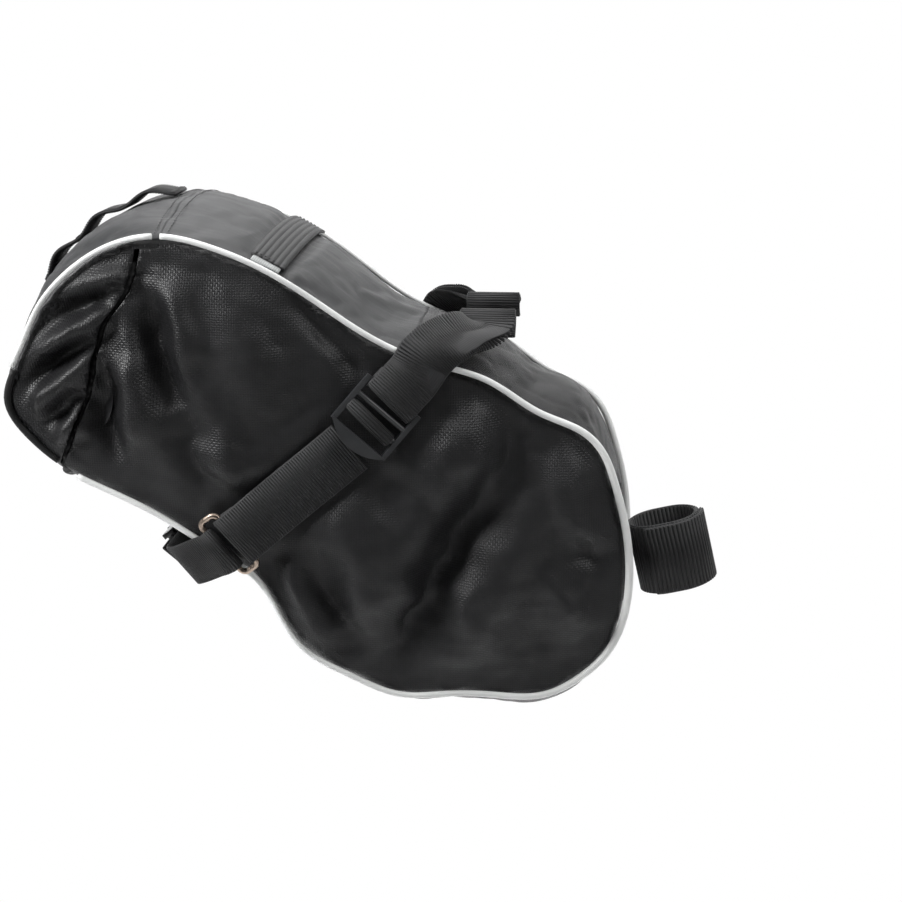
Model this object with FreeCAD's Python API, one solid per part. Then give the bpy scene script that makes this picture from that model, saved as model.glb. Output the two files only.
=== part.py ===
import FreeCAD, Part
import math
import os

# Rear-opening saddle bag, in millimetres: +X forward along the bicycle, +Y to its left, +Z up.
# The origin is the centre of the seat-post strap, on the post's axis.
# The bag hangs behind the post; its two side panels mirror each other in the XZ plane.

V = FreeCAD.Vector
os.makedirs("parts", exist_ok=True)

# --- The bag's body ---
BAG_LENGTH = 307.0          # seam outline, front to rear
BAG_HEIGHT = 238.0          # seam outline, bottom to top
REAR_HALF_WIDTH = 75.0      # centre plane to the seam, at the rear
FRONT_HALF_WIDTH = 46.0     # centre plane to the seam, at the front
FRONT_GAP = 19.0            # post axis to the front of the seam outline
BELOW_STRAP = 64.0          # post strap's centre to the bottom of the seam outline
SIDE_BULGE = 7.0            # how far a packed side panel stands out from its seam
TOP_CROWN = 12.0            # how far each stretch of the gusset stands out at its middle
REAR_CROWN = 14.0
FRONT_CROWN = -3.5
BOTTOM_CROWN = 21.0
FABRIC = 1.4                # side and gusset fabric with its lining
PIPING_RADIUS = 1.9
SEAM_GAP = 0.3              # between pieces that are sewn together
STIFFENER = 1.5             # plastic sheet in the base
STIFFENER_MARGIN = 14.0     # from the seam to the sheet's edge

# --- The lid, a hood with an elastic hem that closes the rear mouth ---
SKIRT_INSET = 0.6           # skirt's outer face inside the seam plane
HEM_WIDTH = 5.0
HEM_THICKNESS = 2.2
MOUTH_GAP = 2.2             # lid hem to the side panel's rear edge
COLLAR_INSET = 6.8          # collar inside the seam plane
COLLAR_REAR = 15.0          # how far it reaches back into the lid
BINDING = 2.4               # bound edge of the collar
DAISY_WIDTH = 25.0          # webbing ladder on the lid's centre line
DAISY_THICKNESS = 1.6
DAISY_ARCH = 3.4            # height of each loop of the ladder
DAISY_LOOPS = 3

# --- Webbing and fittings of the side straps ---
WEB_WIDTH = 28.0
WEB = 1.6                   # webbing thickness
LIE = 0.8                   # air between webbing and the cloth it lies on
RUN = 0.3                   # running clearance of webbing round a bar
RAIL_RADIUS = 3.5           # saddle rail
RAIL_OFFSET = 24.0          # rail's distance from the centre plane
RAIL_FORWARD = 28.0         # rail loop ahead of where the strap crosses the seam
RAIL_LIFT = 15.0            # rail above the seam there
LOCK_BAR = 1.6              # radius of the ladder lock's first bar
LOCK_RAIL = 2.4             # width of its side rails
LOCK_DEPTH = 4.4            # their depth
LOCK_PITCH = 7.5            # from bar to bar
LIP_DEPTH = 7.0             # bulge of the thumb lip
RING_WIRE = 1.5             # radius of the ring's wire
RING_PITCH = 10.4           # between its two long sides
RING_SLACK = 1.2            # ring's opening beyond the webbing, each side

# --- Side-release buckle under the bag ---
CROSS_WIDTH = 25.0          # webbing that joins the two rings
BUCKLE_WIDTH = 31.0
BUCKLE_THICKNESS = 10.0
BUCKLE_WALL = 2.0
SOCKET_LENGTH = 27.0        # female half, along the webbing
SOCKET_DEPTH = 18.0
PLUG_LENGTH = 17.0          # male half's adjuster frame
PRONG_LENGTH = 15.5
PRONG_WIDTH = 3.2
PRONG_THICKNESS = 5.0
SLIDE_FIT = 0.35            # prongs and tongue inside the socket
TONGUE_WIDTH = 9.0
PULL = 17.0                 # how far the plug slides out

# --- Seat-post strap ---
POST_RADIUS = 13.6
POST_TILT = 13.3            # degrees, the top leans back
POST_STRAP_WIDTH = 38.0
POST_STRAP = 2.2            # thickness of the hook-and-loop strap
POST_SLACK = 7.0            # how far the loop stands ahead of the post

# Seam outline as shares of BAG_LENGTH and BAG_HEIGHT, from the lid's lower hem round the tail,
# over the top, down the front and back under the bag.
OUTLINE = [
    (0.085, 0.524), (0.037, 0.576), (0.0, 0.66), (0.013, 0.719), (0.036, 0.779), (0.065, 0.853),
    (0.114, 0.924), (0.168, 0.971), (0.261, 1.0), (0.334, 0.982), (0.410, 0.943), (0.492, 0.878),
    (0.580, 0.798), (0.671, 0.742), (0.769, 0.699), (0.853, 0.628), (0.923, 0.584), (0.951, 0.545),
    (0.972, 0.479), (0.989, 0.397), (1.0, 0.254), (0.991, 0.169), (0.968, 0.101), (0.926, 0.047),
    (0.866, 0.008), (0.772, 0.0126), (0.70, 0.017), (0.63, 0.019), (0.551, 0.064), (0.466, 0.141),
    (0.405, 0.279), (0.329, 0.353), (0.241, 0.424), (0.160, 0.475),
]
LID_SEAM = (0.261, 1.0)
TOP_SEAM = (0.640, 0.757)       # lining-coated top panel ends here, under the saddle
LOW_SEAM = (0.900, 0.025)       # front gusset ends here
MIDDLE = (0.50, 0.47)           # fullest point of the side panel
HEM_LINE = [(0.222, 0.975), (0.209, 0.905), (0.163, 0.811), (0.140, 0.697), (0.112, 0.600), (0.090, 0.545)]
STRAP_CROSSING = (0.671, 0.742)
LOCK_TOP = (0.6163, 0.6718)
LOCK_FOOT = (0.541, 0.563)
RING_AT = (0.3615, 0.374)
BUCKLE_SEAM = (0.300, 0.375)    # seam point that the buckle hangs below
BUCKLE_TURN = 52.0              # degrees, the buckle's width against the horizontal
BUCKLE_DROP = 11.0              # buckle's middle below the crown of the gusset
BUCKLE_Y = -8.0                 # buckle's middle, to the right of the centre plane


def at(fx, fz):
    """Point of the centre plane from shares of the bag's length and height."""
    return V(-FRONT_GAP - BAG_LENGTH * (1 - fx), 0, BAG_HEIGHT * fz - BELOW_STRAP)


outline = Part.BSplineCurve()
outline.interpolate(Points=[at(*p) for p in OUTLINE], PeriodicFlag=True)
U_START = outline.FirstParameter
U_END = outline.LastParameter


def station(share):
    """Parameter of the seam outline nearest to a named place."""
    return outline.parameter(at(*share))


def seam_frame(u):
    """Point, tangent and outward normal of the seam outline."""
    span = U_END - U_START
    u = U_START + (u - U_START) % span
    tangent = outline.tangent(u)[0].normalize()
    return outline.value(u), tangent, V(-tangent.z, 0, tangent.x)


def half_width(x):
    """Centre plane to the seam: full at the rear, tapering to the front with a rounded start."""
    start = at(0.41, 0).x
    end = at(0.964, 0).x
    t = (x - start) / (end - start)
    soft = 0.15
    if t <= -soft:
        share = 0
    elif t < soft:
        share = (t + soft) ** 2 / (4 * soft)
    else:
        share = t
    return REAR_HALF_WIDTH - (REAR_HALF_WIDTH - FRONT_HALF_WIDTH) * min(share, 1.03)


def crown(normal):
    """Crown of the gusset where the seam faces this way."""
    up = TOP_CROWN if normal.z > 0 else BOTTOM_CROWN
    along = FRONT_CROWN if normal.x > 0 else REAR_CROWN
    return up * normal.z ** 2 + along * normal.x ** 2


def gusset_point(u, t, lift=0.0):
    """Point of the crowned gusset: t runs from -1 at the right seam to +1 at the left one."""
    p, _, n = seam_frame(u)
    return p + n * (crown(n) * (1 - t * t) + lift) + V(0, t * half_width(p.x), 0)


def steps(start, end, count):
    return [start + (end - start) * i / (count - 1) for i in range(count)]


def solid_of(faces):
    shell = Part.makeShell(faces)
    shell.sewShape()
    solid = Part.Solid(shell)
    if solid.Volume < 0:
        solid.reverse()
    return solid


def spline(points):
    if len(points) == 2:
        return Part.LineSegment(points[0], points[1]).toShape()
    curve = Part.BSplineCurve()
    curve.interpolate(points)
    return curve.toShape()


def sheet(outer, inner):
    """Solid between two grids of points of the same size."""
    faces = []
    sides = []
    for grid in (outer, inner):
        surface = Part.BSplineSurface()
        surface.interpolate(grid)
        u0, u1, v0, v1 = surface.bounds()
        faces.append(surface.toShape())
        sides.append([surface.uIso(u0), surface.uIso(u1), surface.vIso(v0), surface.vIso(v1)])
    for a, b in zip(*sides):
        faces.append(Part.makeRuledSurface(a.toShape(), b.toShape()))
    return solid_of(faces)


def gusset_sheet(u0, u1, lift, thickness, margin, across=9, spacing=9.0):
    """Sheet that follows the crowned gusset, from its outer face inwards."""
    length = outline.length(u0, u1)
    count = max(5, int(length / spacing))
    outer = []
    inner = []
    for u in steps(u0, u1, count):
        h = half_width(seam_frame(u)[0].x)
        edge = 1 - margin / h
        ts = steps(-edge, edge, across)
        outer.append([gusset_point(u, t, lift) for t in ts])
        inner.append([gusset_point(u, t, lift - thickness) for t in ts])
    return sheet(outer, inner)


def shares_along(points):
    """Distance along a list of points, as shares of the whole."""
    run = [0.0]
    for a, b in zip(points, points[1:]):
        run.append(run[-1] + (b - a).Length)
    return [r / run[-1] for r in run]


def ruled(a, b):
    """Ruled surface between two curves that have the same knots."""
    surface = Part.BSplineSurface()
    surface.buildFromPolesMultsKnots([a.getPoles(), b.getPoles()], [2, 2], a.getMultiplicities(), [0, 1],
                                     a.getKnots(), False, False, 1, a.Degree)
    return surface.toShape()


def bar(corners):
    """Solid whose four long edges run through four lists of points."""
    shares = shares_along([sum((c[i] for c in corners), V()) * 0.25 for i in range(len(corners[0]))])
    rails = []
    for points in corners:
        rail = Part.BSplineCurve()
        rail.interpolate(Points=points, Parameters=shares)
        rails.append(rail)
    faces = [ruled(rails[i], rails[(i + 1) % 4]) for i in range(4)]
    for end in (0, -1):
        a, b, c, d = [points[end] for points in corners]
        faces.append(Part.makeRuledSurface(spline([a, b]), spline([d, c])))
    return solid_of(faces)


def band(path, across, out, width, thickness):
    """Strip of webbing: its underside follows path, and it is thick towards out."""
    if not isinstance(width, list):
        width = [width] * len(path)
    low = [p - a * (w / 2) for p, a, w in zip(path, across, width)]
    high = [p + a * (w / 2) for p, a, w in zip(path, across, width)]
    low_out = [p + o * thickness for p, o in zip(low, out)]
    high_out = [p + o * thickness for p, o in zip(high, out)]
    return bar([low, high, high_out, low_out])


def mirrored(shape):
    return shape.mirror(V(0, 0, 0), V(0, 1, 0))


def save(name, shape):
    shape.exportStep("parts/" + name + ".step")


def save_pair(name, right):
    save(name + "_right", right)
    save(name + "_left", mirrored(right))


# --- Side panels ---
centre = at(*MIDDLE)
RIM = []
for u in steps(U_START, U_END, 181)[:-1]:
    rim_point = seam_frame(u)[0] - centre
    RIM.append((math.atan2(rim_point.z, rim_point.x), rim_point.Length))
RIM.sort()
RIM = [(RIM[-1][0] - 2 * math.pi, RIM[-1][1])] + RIM + [(RIM[0][0] + 2 * math.pi, RIM[0][1])]


def panel_half(x, z):
    """Half-width of the bag at a side panel's outer face."""
    dx = x - centre.x
    dz = z - centre.z
    angle = math.atan2(dz, dx)
    for (a0, r0), (a1, r1) in zip(RIM, RIM[1:]):
        if a0 <= angle <= a1:
            rim = r0 + (r1 - r0) * (angle - a0) / max(a1 - a0, 1e-9)
            break
    share = (dx * dx + dz * dz) / (rim * rim)
    return half_width(x) + SIDE_BULGE * (1 - share)


def panel_frame(x, z):
    """Point and outward normal of the right side panel's outer face."""
    step = 2.0
    fx = (panel_half(x + step, z) - panel_half(x - step, z)) / (2 * step)
    fz = (panel_half(x, z + step) - panel_half(x, z - step)) / (2 * step)
    return V(x, -panel_half(x, z), z), V(-fx, -1, -fz).normalize()


def seam_run(u0, u1, inset, count):
    """Points along the seam outline, moved inwards."""
    points = []
    for u in steps(u0, u1, count):
        p, _, n = seam_frame(u)
        points.append(p - n * inset)
    return points


def shifted(points, dx):
    return [p + V(dx, 0, 0) for p in points]


def plate(edges, y0, y1):
    """Flat plate between two Y planes inside a closed outline of edges."""
    face = Part.Face(Part.Wire(edges))
    face.translate(V(0, y0, 0))
    return face.extrude(V(0, y1 - y0, 0))


u_lid = station(LID_SEAM)
u_top = station(TOP_SEAM)
u_low = station(LOW_SEAM)
hem_line = [at(*p) for p in HEM_LINE]
u_hem = U_START
inset = PIPING_RADIUS + SEAM_GAP

rear_edge = shifted(hem_line, MOUTH_GAP + HEM_WIDTH / 2)
panel_top = outline.parameter(rear_edge[0])
panel_bottom = outline.parameter(rear_edge[-1])
seam_points = seam_run(panel_top, panel_bottom, inset, 64)
rear_points = [seam_points[0]] + rear_edge[1:-1] + [seam_points[-1]]
panel_outline = [spline(seam_points), spline(rear_points)]
cutter = plate(panel_outline, -2 * REAR_HALF_WIDTH, 0)

grid = []
for x in steps(at(-0.03, 0).x, at(1.03, 0).x, 18):
    grid.append([V(x, -panel_half(x, z), z) for z in steps(at(0, -0.03).z, at(0, 1.03).z, 15)])
panel_surface = Part.BSplineSurface()
panel_surface.interpolate(grid)
side_panel = panel_surface.toShape().extrude(V(0, FABRIC, 0)).common(cutter)
save_pair("side_panel", side_panel.Solids[0])

# --- Gusset: coated top panel, front and bottom ---
margin = PIPING_RADIUS + SEAM_GAP
gap_u = SEAM_GAP * (U_END - U_START) / outline.length()
save("top_panel", gusset_sheet(u_lid + gap_u, u_top - gap_u, 0, FABRIC, margin))
save("front_gusset", gusset_sheet(u_top + gap_u, u_low - gap_u, 0, FABRIC, margin))
gusset_end = U_END - (HEM_WIDTH + MOUTH_GAP + 2 * SEAM_GAP) * gap_u / SEAM_GAP
save("bottom_gusset", gusset_sheet(u_low + gap_u, gusset_end, 0, FABRIC, margin))
under = -(FABRIC + SEAM_GAP)
save("base_stiffener", gusset_sheet(u_low + 6 * gap_u, panel_bottom - 60 * gap_u, under, STIFFENER,
                                    STIFFENER_MARGIN))


def piping(u0, u1):
    """Cord in the right seam, as a bar of square section."""
    length = outline.length(u0, u1)
    path = []
    across = []
    out = []
    for u in steps(u0, u1, int(length / 7)):
        p, _, n = seam_frame(u)
        path.append(p + V(0, -half_width(p.x) + PIPING_RADIUS, 0))
        across.append(n)
        out.append(V(0, -1, 0))
    return band(path, across, out, 2 * PIPING_RADIUS, 2 * PIPING_RADIUS)


save_pair("piping", piping(u_lid + gap_u, gusset_end))


# --- Lid: crowned hood, its two skirts, seam cord and elastic hem ---
save("lid_panel", gusset_sheet(u_hem, u_lid - gap_u, 0, FABRIC, margin))
save_pair("lid_piping", piping(u_hem, u_lid - gap_u))
skirt_edge = shifted(hem_line, -HEM_WIDTH / 2 - SEAM_GAP)
skirt_seam = seam_run(u_hem, outline.parameter(skirt_edge[0]), inset, 40)
skirt_edge = [skirt_seam[-1]] + skirt_edge[1:-1] + [skirt_seam[0]]
skirt_y = -REAR_HALF_WIDTH + SKIRT_INSET
save_pair("lid_skirt", plate([spline(skirt_seam), spline(skirt_edge)], skirt_y, skirt_y + FABRIC))


def fan(vectors):
    """Directions between neighbouring points of a list, one per point."""
    last = len(vectors) - 1
    return [(vectors[min(i + 1, last)] - vectors[max(i - 1, 0)]).normalize() for i in range(last + 1)]


def sideways(points):
    """Directions in the XZ plane, square to a line of points and pointing forward."""
    return [V(-d.z, 0, d.x) for d in fan(points)]


def both_sides(right, middle):
    """Run of (point, direction, direction) from the right side under the middle to the left."""
    flip = [tuple(V(a.x, -a.y, a.z) for a in entry) for entry in reversed(right)]
    return right + middle + flip


hem_y = REAR_HALF_WIDTH - SKIRT_INSET - FABRIC - SEAM_GAP - HEM_THICKNESS
hem_side = [(p + V(0, -hem_y, 0), a, V(0, -1, 0)) for p, a in zip(hem_line, sideways(hem_line))]
hem_u = u_hem - (HEM_WIDTH / 2 + SEAM_GAP) * gap_u / SEAM_GAP
_, hem_tangent, hem_normal = seam_frame(hem_u)
hem_under = [(gusset_point(hem_u, t, -HEM_THICKNESS), -hem_tangent, hem_normal) for t in steps(-0.86, 0.86, 9)]
hem_corner = hem_line[-2] + (hem_line[-1] - hem_line[-2]) * 0.8 + V(0, 0.4 - hem_y, 0)
hem_side = hem_side[1:-1] + [(hem_corner, hem_side[-1][1], V(0, -1, 0))]
hem_run = both_sides(hem_side, hem_under)
save("lid_hem", band([h[0] for h in hem_run], [h[1] for h in hem_run], [h[2] for h in hem_run],
                     HEM_WIDTH, HEM_THICKNESS))

# --- Collar round the mouth, under the lid, with a bound edge ---
COLLAR_ROWS = [(12.0, FABRIC + 1.0), (6.5, 5.4), (0.0, COLLAR_INSET), (-COLLAR_REAR, COLLAR_INSET + 0.4)]


def evened(ring, count=41):
    """The same run of points and directions, evenly spaced."""
    shares = shares_along([p for p, _ in ring])
    curve = Part.BSplineCurve()
    curve.interpolate(Points=[p for p, _ in ring], Parameters=shares)
    result = []
    for share in steps(0, 1, count):
        i = min(sum(1 for s in shares if s <= share), len(ring) - 1)
        part = (share - shares[i - 1]) / (shares[i] - shares[i - 1])
        result.append((curve.value(share), (ring[i - 1][1] * (1 - part) + ring[i][1] * part).normalize()))
    return result


def collar_ring(shift, inset_side):
    """Points round the mouth from the top middle, down the right side to the bottom middle and back up,
    each with its direction into the bag."""
    y = REAR_HALF_WIDTH - inset_side
    top = hem_line[0] + V(shift, 0, -3.5)
    low = hem_line[-1] + V(shift * 0.8, 0, 9.0 - 0.25 * shift)
    right = []
    for t in (0.02, 0.25, 0.5, 0.75):
        right.append((top + V(0, -t * y, 0.75 * TOP_CROWN * (1 - t * t)), V(0, 0, -1)))
    right.append((top + V(0, -0.94 * y, -3), V(0, 0.6, -0.8)))
    for p in hem_line[1:-1]:
        right.append((p + V(shift, -y, 0), V(0, 1, 0)))
    right.append((low + V(0, -0.94 * y, 2), V(0.3, 0.6, 0.7)))
    middle = []
    for t in (-0.75, -0.5, -0.25, 0, 0.25, 0.5, 0.75):
        middle.append((low + V(-4, 0, -6) * (1 - t * t) + V(0, t * y, 0), V(0.45, 0, 0.85)))
    left = [tuple(V(a.x, -a.y, a.z) for a in entry) for entry in reversed(right)]
    return evened(right + middle + left)


rings = [collar_ring(shift, side) for shift, side in COLLAR_ROWS]
collar_outer = [[ring[i][0] for ring in rings] for i in range(len(rings[0]))]
collar_inner = [[ring[i][0] + ring[i][1] * FABRIC for ring in rings] for i in range(len(rings[0]))]
save("collar", sheet(collar_outer, collar_inner))
edge_from = -COLLAR_REAR - 2 * SEAM_GAP
rings = [collar_ring(shift, COLLAR_INSET + 0.4) for shift in (edge_from, edge_from - BINDING)]
edge_outer = [[p - d * 0.4 for p, d in ring] for ring in rings]
edge_inner = [[p + d * (FABRIC + 0.4) for p, d in ring] for ring in rings]
save("collar_binding", bar(edge_outer + edge_inner[::-1]))

# --- Webbing ladder on the lid, and the ribbed elastic that crosses the top panel ---
u_daisy = station((0.055, 0.835))
ladder_end = u_lid - 5 * gap_u / SEAM_GAP
ladder_us = steps(u_daisy, ladder_end, 8 * DAISY_LOOPS + 1)
ladder = []
for i, u in enumerate(ladder_us):
    ladder.append(gusset_point(u, 0, 0.4 + DAISY_ARCH * math.sin(math.pi * i / 8) ** 2))
ladder_out = [seam_frame(u)[2] for u in ladder_us]
save("daisy_chain", band(ladder, [V(0, 1, 0)] * len(ladder), ladder_out, DAISY_WIDTH, DAISY_THICKNESS))

ELASTIC_WIDTH = 18.0
ELASTIC = 1.8
TAB_WIDTH = 15.0
TAB_LENGTH = 5.0
u_elastic = station((0.421, 0.937))


def across_top(t0, t1, count, width, thickness):
    """Strip of webbing that lies across the top panel."""
    _, tangent, normal = seam_frame(u_elastic)
    path = [gusset_point(u_elastic, t, LIE / 2) for t in steps(t0, t1, count)]
    return band(path, [tangent] * count, [normal] * count, width, thickness)


elastic_end = 1 - (PIPING_RADIUS + 2 * SEAM_GAP + TAB_LENGTH) / REAR_HALF_WIDTH
tab_inner = elastic_end + SEAM_GAP / REAR_HALF_WIDTH
tab_outer = tab_inner + (TAB_LENGTH - SEAM_GAP) / REAR_HALF_WIDTH
save("top_elastic", across_top(-elastic_end, elastic_end, 13, ELASTIC_WIDTH, ELASTIC))
save_pair("elastic_tab", across_top(-tab_outer, -tab_inner, 3, TAB_WIDTH, 1.2))

# --- Right side strap: rail loop, ladder lock, lower strap and wire ring; the left one mirrors it ---
crossing = at(*STRAP_CROSSING)
lock_top = at(*LOCK_TOP)
lock_foot = at(*LOCK_FOOT)
ring_at = at(*RING_AT)
lock_along = (lock_foot - lock_top).normalize()
lower_along = (ring_at - lock_foot).normalize()
LAYER = WEB + RUN                       # one turn of webbing and its air


def on_panel(p, lift):
    """Point above the right side panel and the panel's normal there."""
    base, normal = panel_frame(p.x, p.z)
    return base + normal * lift, normal


def turned(along):
    """Width direction of a strap that runs this way over the side panel."""
    return V(-along.z, 0, along.x)


def laid(direction, normal):
    """Direction brought into the panel's plane."""
    return (direction - normal * direction.dot(normal)).normalize()


def strap(route, along, width=WEB_WIDTH, thickness=WEB):
    """Webbing over the right panel, along a route of (point in the centre plane, lift)."""
    path, across, out = [], [], []
    for p, lift in route:
        point, normal = on_panel(p, lift)
        path.append(point)
        across.append(laid(turned(along), normal))
        out.append(normal)
    return path, across, out


def looped(origin, away, normal, across, radius, start, turn, count):
    """Webbing round a bar: the points run from angle start through turn, measured from away to normal."""
    path, sides, out = [], [], []
    for angle in steps(math.radians(start), math.radians(start + turn), count):
        spoke = away * math.cos(angle) + normal * math.sin(angle)
        path.append(origin + spoke * radius)
        sides.append(across)
        out.append(spoke)
    return path, sides, out


def joined(*runs):
    """Runs of webbing end to end."""
    return [sum((run[i] for run in runs), []) for i in range(3)]


LOCK_LIFT = LIE + LAYER + LOCK_BAR + 0.4
LOCK_INNER = WEB_WIDTH / 2 + RUN + 0.1
LOCK_CHORD = 24.0           # first bar to the straight edge of the thumb lip
lock_origin, lock_normal = on_panel(lock_top, LOCK_LIFT)
lock_d = laid(lock_along, lock_normal)
lock_w = laid(turned(lock_along), lock_normal)


def placed(shape, origin, x_dir, y_dir, z_dir):
    """Moves a shape drawn about the origin into a frame of three directions."""
    matrix = FreeCAD.Matrix(x_dir.x, y_dir.x, z_dir.x, origin.x, x_dir.y, y_dir.y, z_dir.y, origin.y,
                            x_dir.z, y_dir.z, z_dir.z, origin.z, 0, 0, 0, 1)
    shape.Placement = FreeCAD.Placement(matrix)
    return shape


def block(x0, x1, y0, y1, z0, z1):
    return Part.makeBox(x1 - x0, y1 - y0, z1 - z0, V(x0, y0, z0))


def one(shape):
    """The single solid of a cut or fused shape."""
    solids = shape.removeSplitter().Solids
    if len(solids) != 1:
        raise ValueError("expected one solid, found %d" % len(solids))
    return solids[0]


# Saddle-rail end of the strap: a U of webbing over the rail, its outer leg running on to the lock
RAIL_LEG = 9.0
rail = V(crossing.x + RAIL_FORWARD, -RAIL_OFFSET, crossing.z + RAIL_LIFT)
rail_out = V(0, -0.86, -0.51).normalize()
rail_up = V(0, rail_out.z, -rail_out.y)
outer_radius = RAIL_RADIUS + WEB
tube = Part.makeCylinder(outer_radius, WEB_WIDTH).cut(Part.makeCylinder(RAIL_RADIUS, WEB_WIDTH))
back = tube.common(block(-2 * outer_radius, 0, -2 * outer_radius, 2 * outer_radius, 0, WEB_WIDTH))
legs = [block(0, RAIL_LEG, side * RAIL_RADIUS - (WEB if side < 0 else 0),
              side * RAIL_RADIUS + (WEB if side > 0 else 0), 0, WEB_WIDTH) for side in (-1, 1)]
saddle_loop = placed(one(back.multiFuse(legs)), rail + V(WEB_WIDTH / 2, 0, 0), rail_out, rail_up, V(-1, 0, 0))

strap_along = (lock_top - crossing).normalize()
leg_end = rail + rail_out * RAIL_LEG + rail_up * RAIL_RADIUS
seam_top = V(crossing.x, -half_width(crossing.x) - PIPING_RADIUS - 1.6, crossing.z + PIPING_RADIUS + 1.0)
seam_across = V(0.80, -0.06, -0.60).normalize()
seam_out = V(0.25, -0.75, 0.6)
seam_out = (seam_out - seam_across * seam_out.dot(seam_across)).normalize()
half_way = leg_end * 0.5 + seam_top * 0.5 + V(0, -1, 3.0)
half_across = (V(1, 0, 0) + seam_across).normalize()
half_out = rail_up + seam_out
half_out = (half_out - half_across * half_out.dot(half_across)).normalize()
over_top = ([leg_end, half_way, seam_top], [V(1, 0, 0), half_across, seam_across], [rail_up, half_out, seam_out])
to_lock = []
span = (lock_top - crossing).Length
TOP_OF_BAR = LOCK_LIFT + LOCK_BAR + RUN
for share, lift in ((0.42, 3.4), (0.65, 4.6), (0.85, TOP_OF_BAR - 0.5)):
    to_lock.append((crossing + strap_along * (span * share), lift))
round_bar = looped(lock_origin, lock_d, lock_normal, lock_w, LOCK_BAR + RUN, 90, -180, 9)
under_leg = ([lock_origin - lock_d * k - lock_normal * (LOCK_BAR + RUN) for k in (4.0, 8.0)], [lock_w] * 2,
             [-lock_normal] * 2)
rail_strap = band(*joined(over_top, strap(to_lock, strap_along), round_bar, under_leg), WEB_WIDTH, WEB)
save_pair("rail_strap", one(rail_strap.fuse(saddle_loop)))

# Ladder lock: two side rails, three bars and a curved thumb lip
lock_half = LOCK_INNER + LOCK_RAIL
lock_parts = []
for side in (-1, 1):
    edges = sorted((side * LOCK_INNER, side * lock_half))
    lock_parts.append(block(-LOCK_RAIL, LOCK_CHORD + 1, edges[0], edges[1], -LOCK_DEPTH / 2, LOCK_DEPTH / 2))
for x, z, r in ((0, 0, LOCK_BAR), (LOCK_PITCH, 0.7, 1.3), (2 * LOCK_PITCH, 0, LOCK_BAR)):
    lock_parts.append(Part.makeCylinder(r, 2 * LOCK_INNER + 2, V(x, -LOCK_INNER - 1, z), V(0, 1, 0)))
lip_edge = [Part.LineSegment(V(LOCK_CHORD, -lock_half, 0), V(LOCK_CHORD, lock_half, 0)).toShape(),
            Part.Arc(V(LOCK_CHORD, lock_half, 0), V(LOCK_CHORD + LIP_DEPTH, 0, 0),
                     V(LOCK_CHORD, -lock_half, 0)).toShape()]
lip = Part.Face(Part.Wire(lip_edge)).extrude(V(0, 0, LOCK_DEPTH / 2 + 0.6))
ladder_lock = one(lock_parts[0].multiFuse(lock_parts[1:] + [lip]))
save_pair("ladder_lock", placed(ladder_lock, lock_origin, lock_d, lock_w, lock_normal))
middle_bar = lock_origin + lock_d * (2 * LOCK_PITCH)
save_pair("lock_webbing", band(*looped(middle_bar, lock_d, lock_normal, lock_w, LOCK_BAR + RUN, 215, -250, 13),
                               WEB_WIDTH, WEB))

# Lower strap to the wire ring, and the ring
RING_LIFT = LIE + LAYER + RING_WIRE + 0.4
TOP_OF_RING = RING_LIFT + RING_WIRE + RUN
lower_start = lock_foot - lower_along * 5.0
near_ring = ring_at - lower_along * (RING_PITCH / 2)
span = (near_ring - lower_start).Length
ring_origin, ring_normal = on_panel(ring_at, RING_LIFT)
ring_d = laid(lower_along, ring_normal)
ring_w = laid(turned(lower_along), ring_normal)
ring_bar = ring_origin - ring_d * (RING_PITCH / 2)
lower_run = [(lower_start + lower_along * (span * share), lift) for share, lift in
             ((0.0, LIE), (0.25, LIE), (0.5, LIE), (0.7, 2.0), (0.85, 4.4), (0.95, TOP_OF_RING - 0.2))]
round_ring = looped(ring_bar, ring_d, ring_normal, ring_w, RING_WIRE + RUN, 90, -180, 9)
ring_leg = ([ring_bar - ring_d * k - ring_normal * (RING_WIRE + RUN) for k in (4.0, 9.0)], [ring_w] * 2,
            [-ring_normal] * 2)
save_pair("side_strap", band(*joined(strap(lower_run, lower_along), round_ring, ring_leg), WEB_WIDTH, WEB))



def wire_loop(length, width, corner, radius):
    """Rounded rectangle of round wire, in the XY plane."""
    pieces = []
    for quarter in range(4):
        along, away = (width, length) if quarter % 2 else (length, width)
        run = along / 2 - corner
        ends = [Part.Face(Part.Wire(Part.makeCircle(radius, V(x, -away / 2, 0), V(1, 0, 0)))) for x in (-run, run)]
        side = ends[0].extrude(V(2 * run, 0, 0))
        bend = ends[1].revolve(V(run, corner - away / 2, 0), V(0, 0, 1), 90)
        for piece in (side, bend):
            piece.rotate(V(), V(0, 0, 1), 90 * quarter)
            pieces.append(piece)
    return one(pieces[0].multiFuse(pieces[1:]))


RING_CORNER = 3.2
ring_across = WEB_WIDTH + 2 * (RING_SLACK + RING_WIRE)
wire_ring = wire_loop(RING_PITCH, ring_across, RING_CORNER, RING_WIRE)
save_pair("wire_ring", placed(wire_ring, ring_origin, ring_d, ring_w, ring_normal))

# --- Side-release buckle under the bag, on the straps that join the two rings ---
# Its own directions are +Y along the webbing, buckle_w across it and buckle_n away from the bag.
buckle_turn = math.radians(BUCKLE_TURN)
buckle_u = V(0, 1, 0)
buckle_w = V(math.cos(buckle_turn), 0, -math.sin(buckle_turn))
buckle_n = V(-math.sin(buckle_turn), 0, -math.cos(buckle_turn))
u_buckle = station(BUCKLE_SEAM)
buckle_middle = (SOCKET_LENGTH - PLUG_LENGTH) / 2
buckle_origin = gusset_point(u_buckle, 0, BUCKLE_DROP) + V(0, BUCKLE_Y - buckle_middle, 0)
half = BUCKLE_WIDTH / 2
CAVITY = half - BUCKLE_WALL
SLOT = CROSS_WIDTH / 2 + RUN
SKIN = 1.7                  # socket's flat walls
WINDOW = (7.0, 14.0)        # where the prongs show through the socket's sides
END_BAR = 1.5               # radius of the socket's webbing bar


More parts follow.
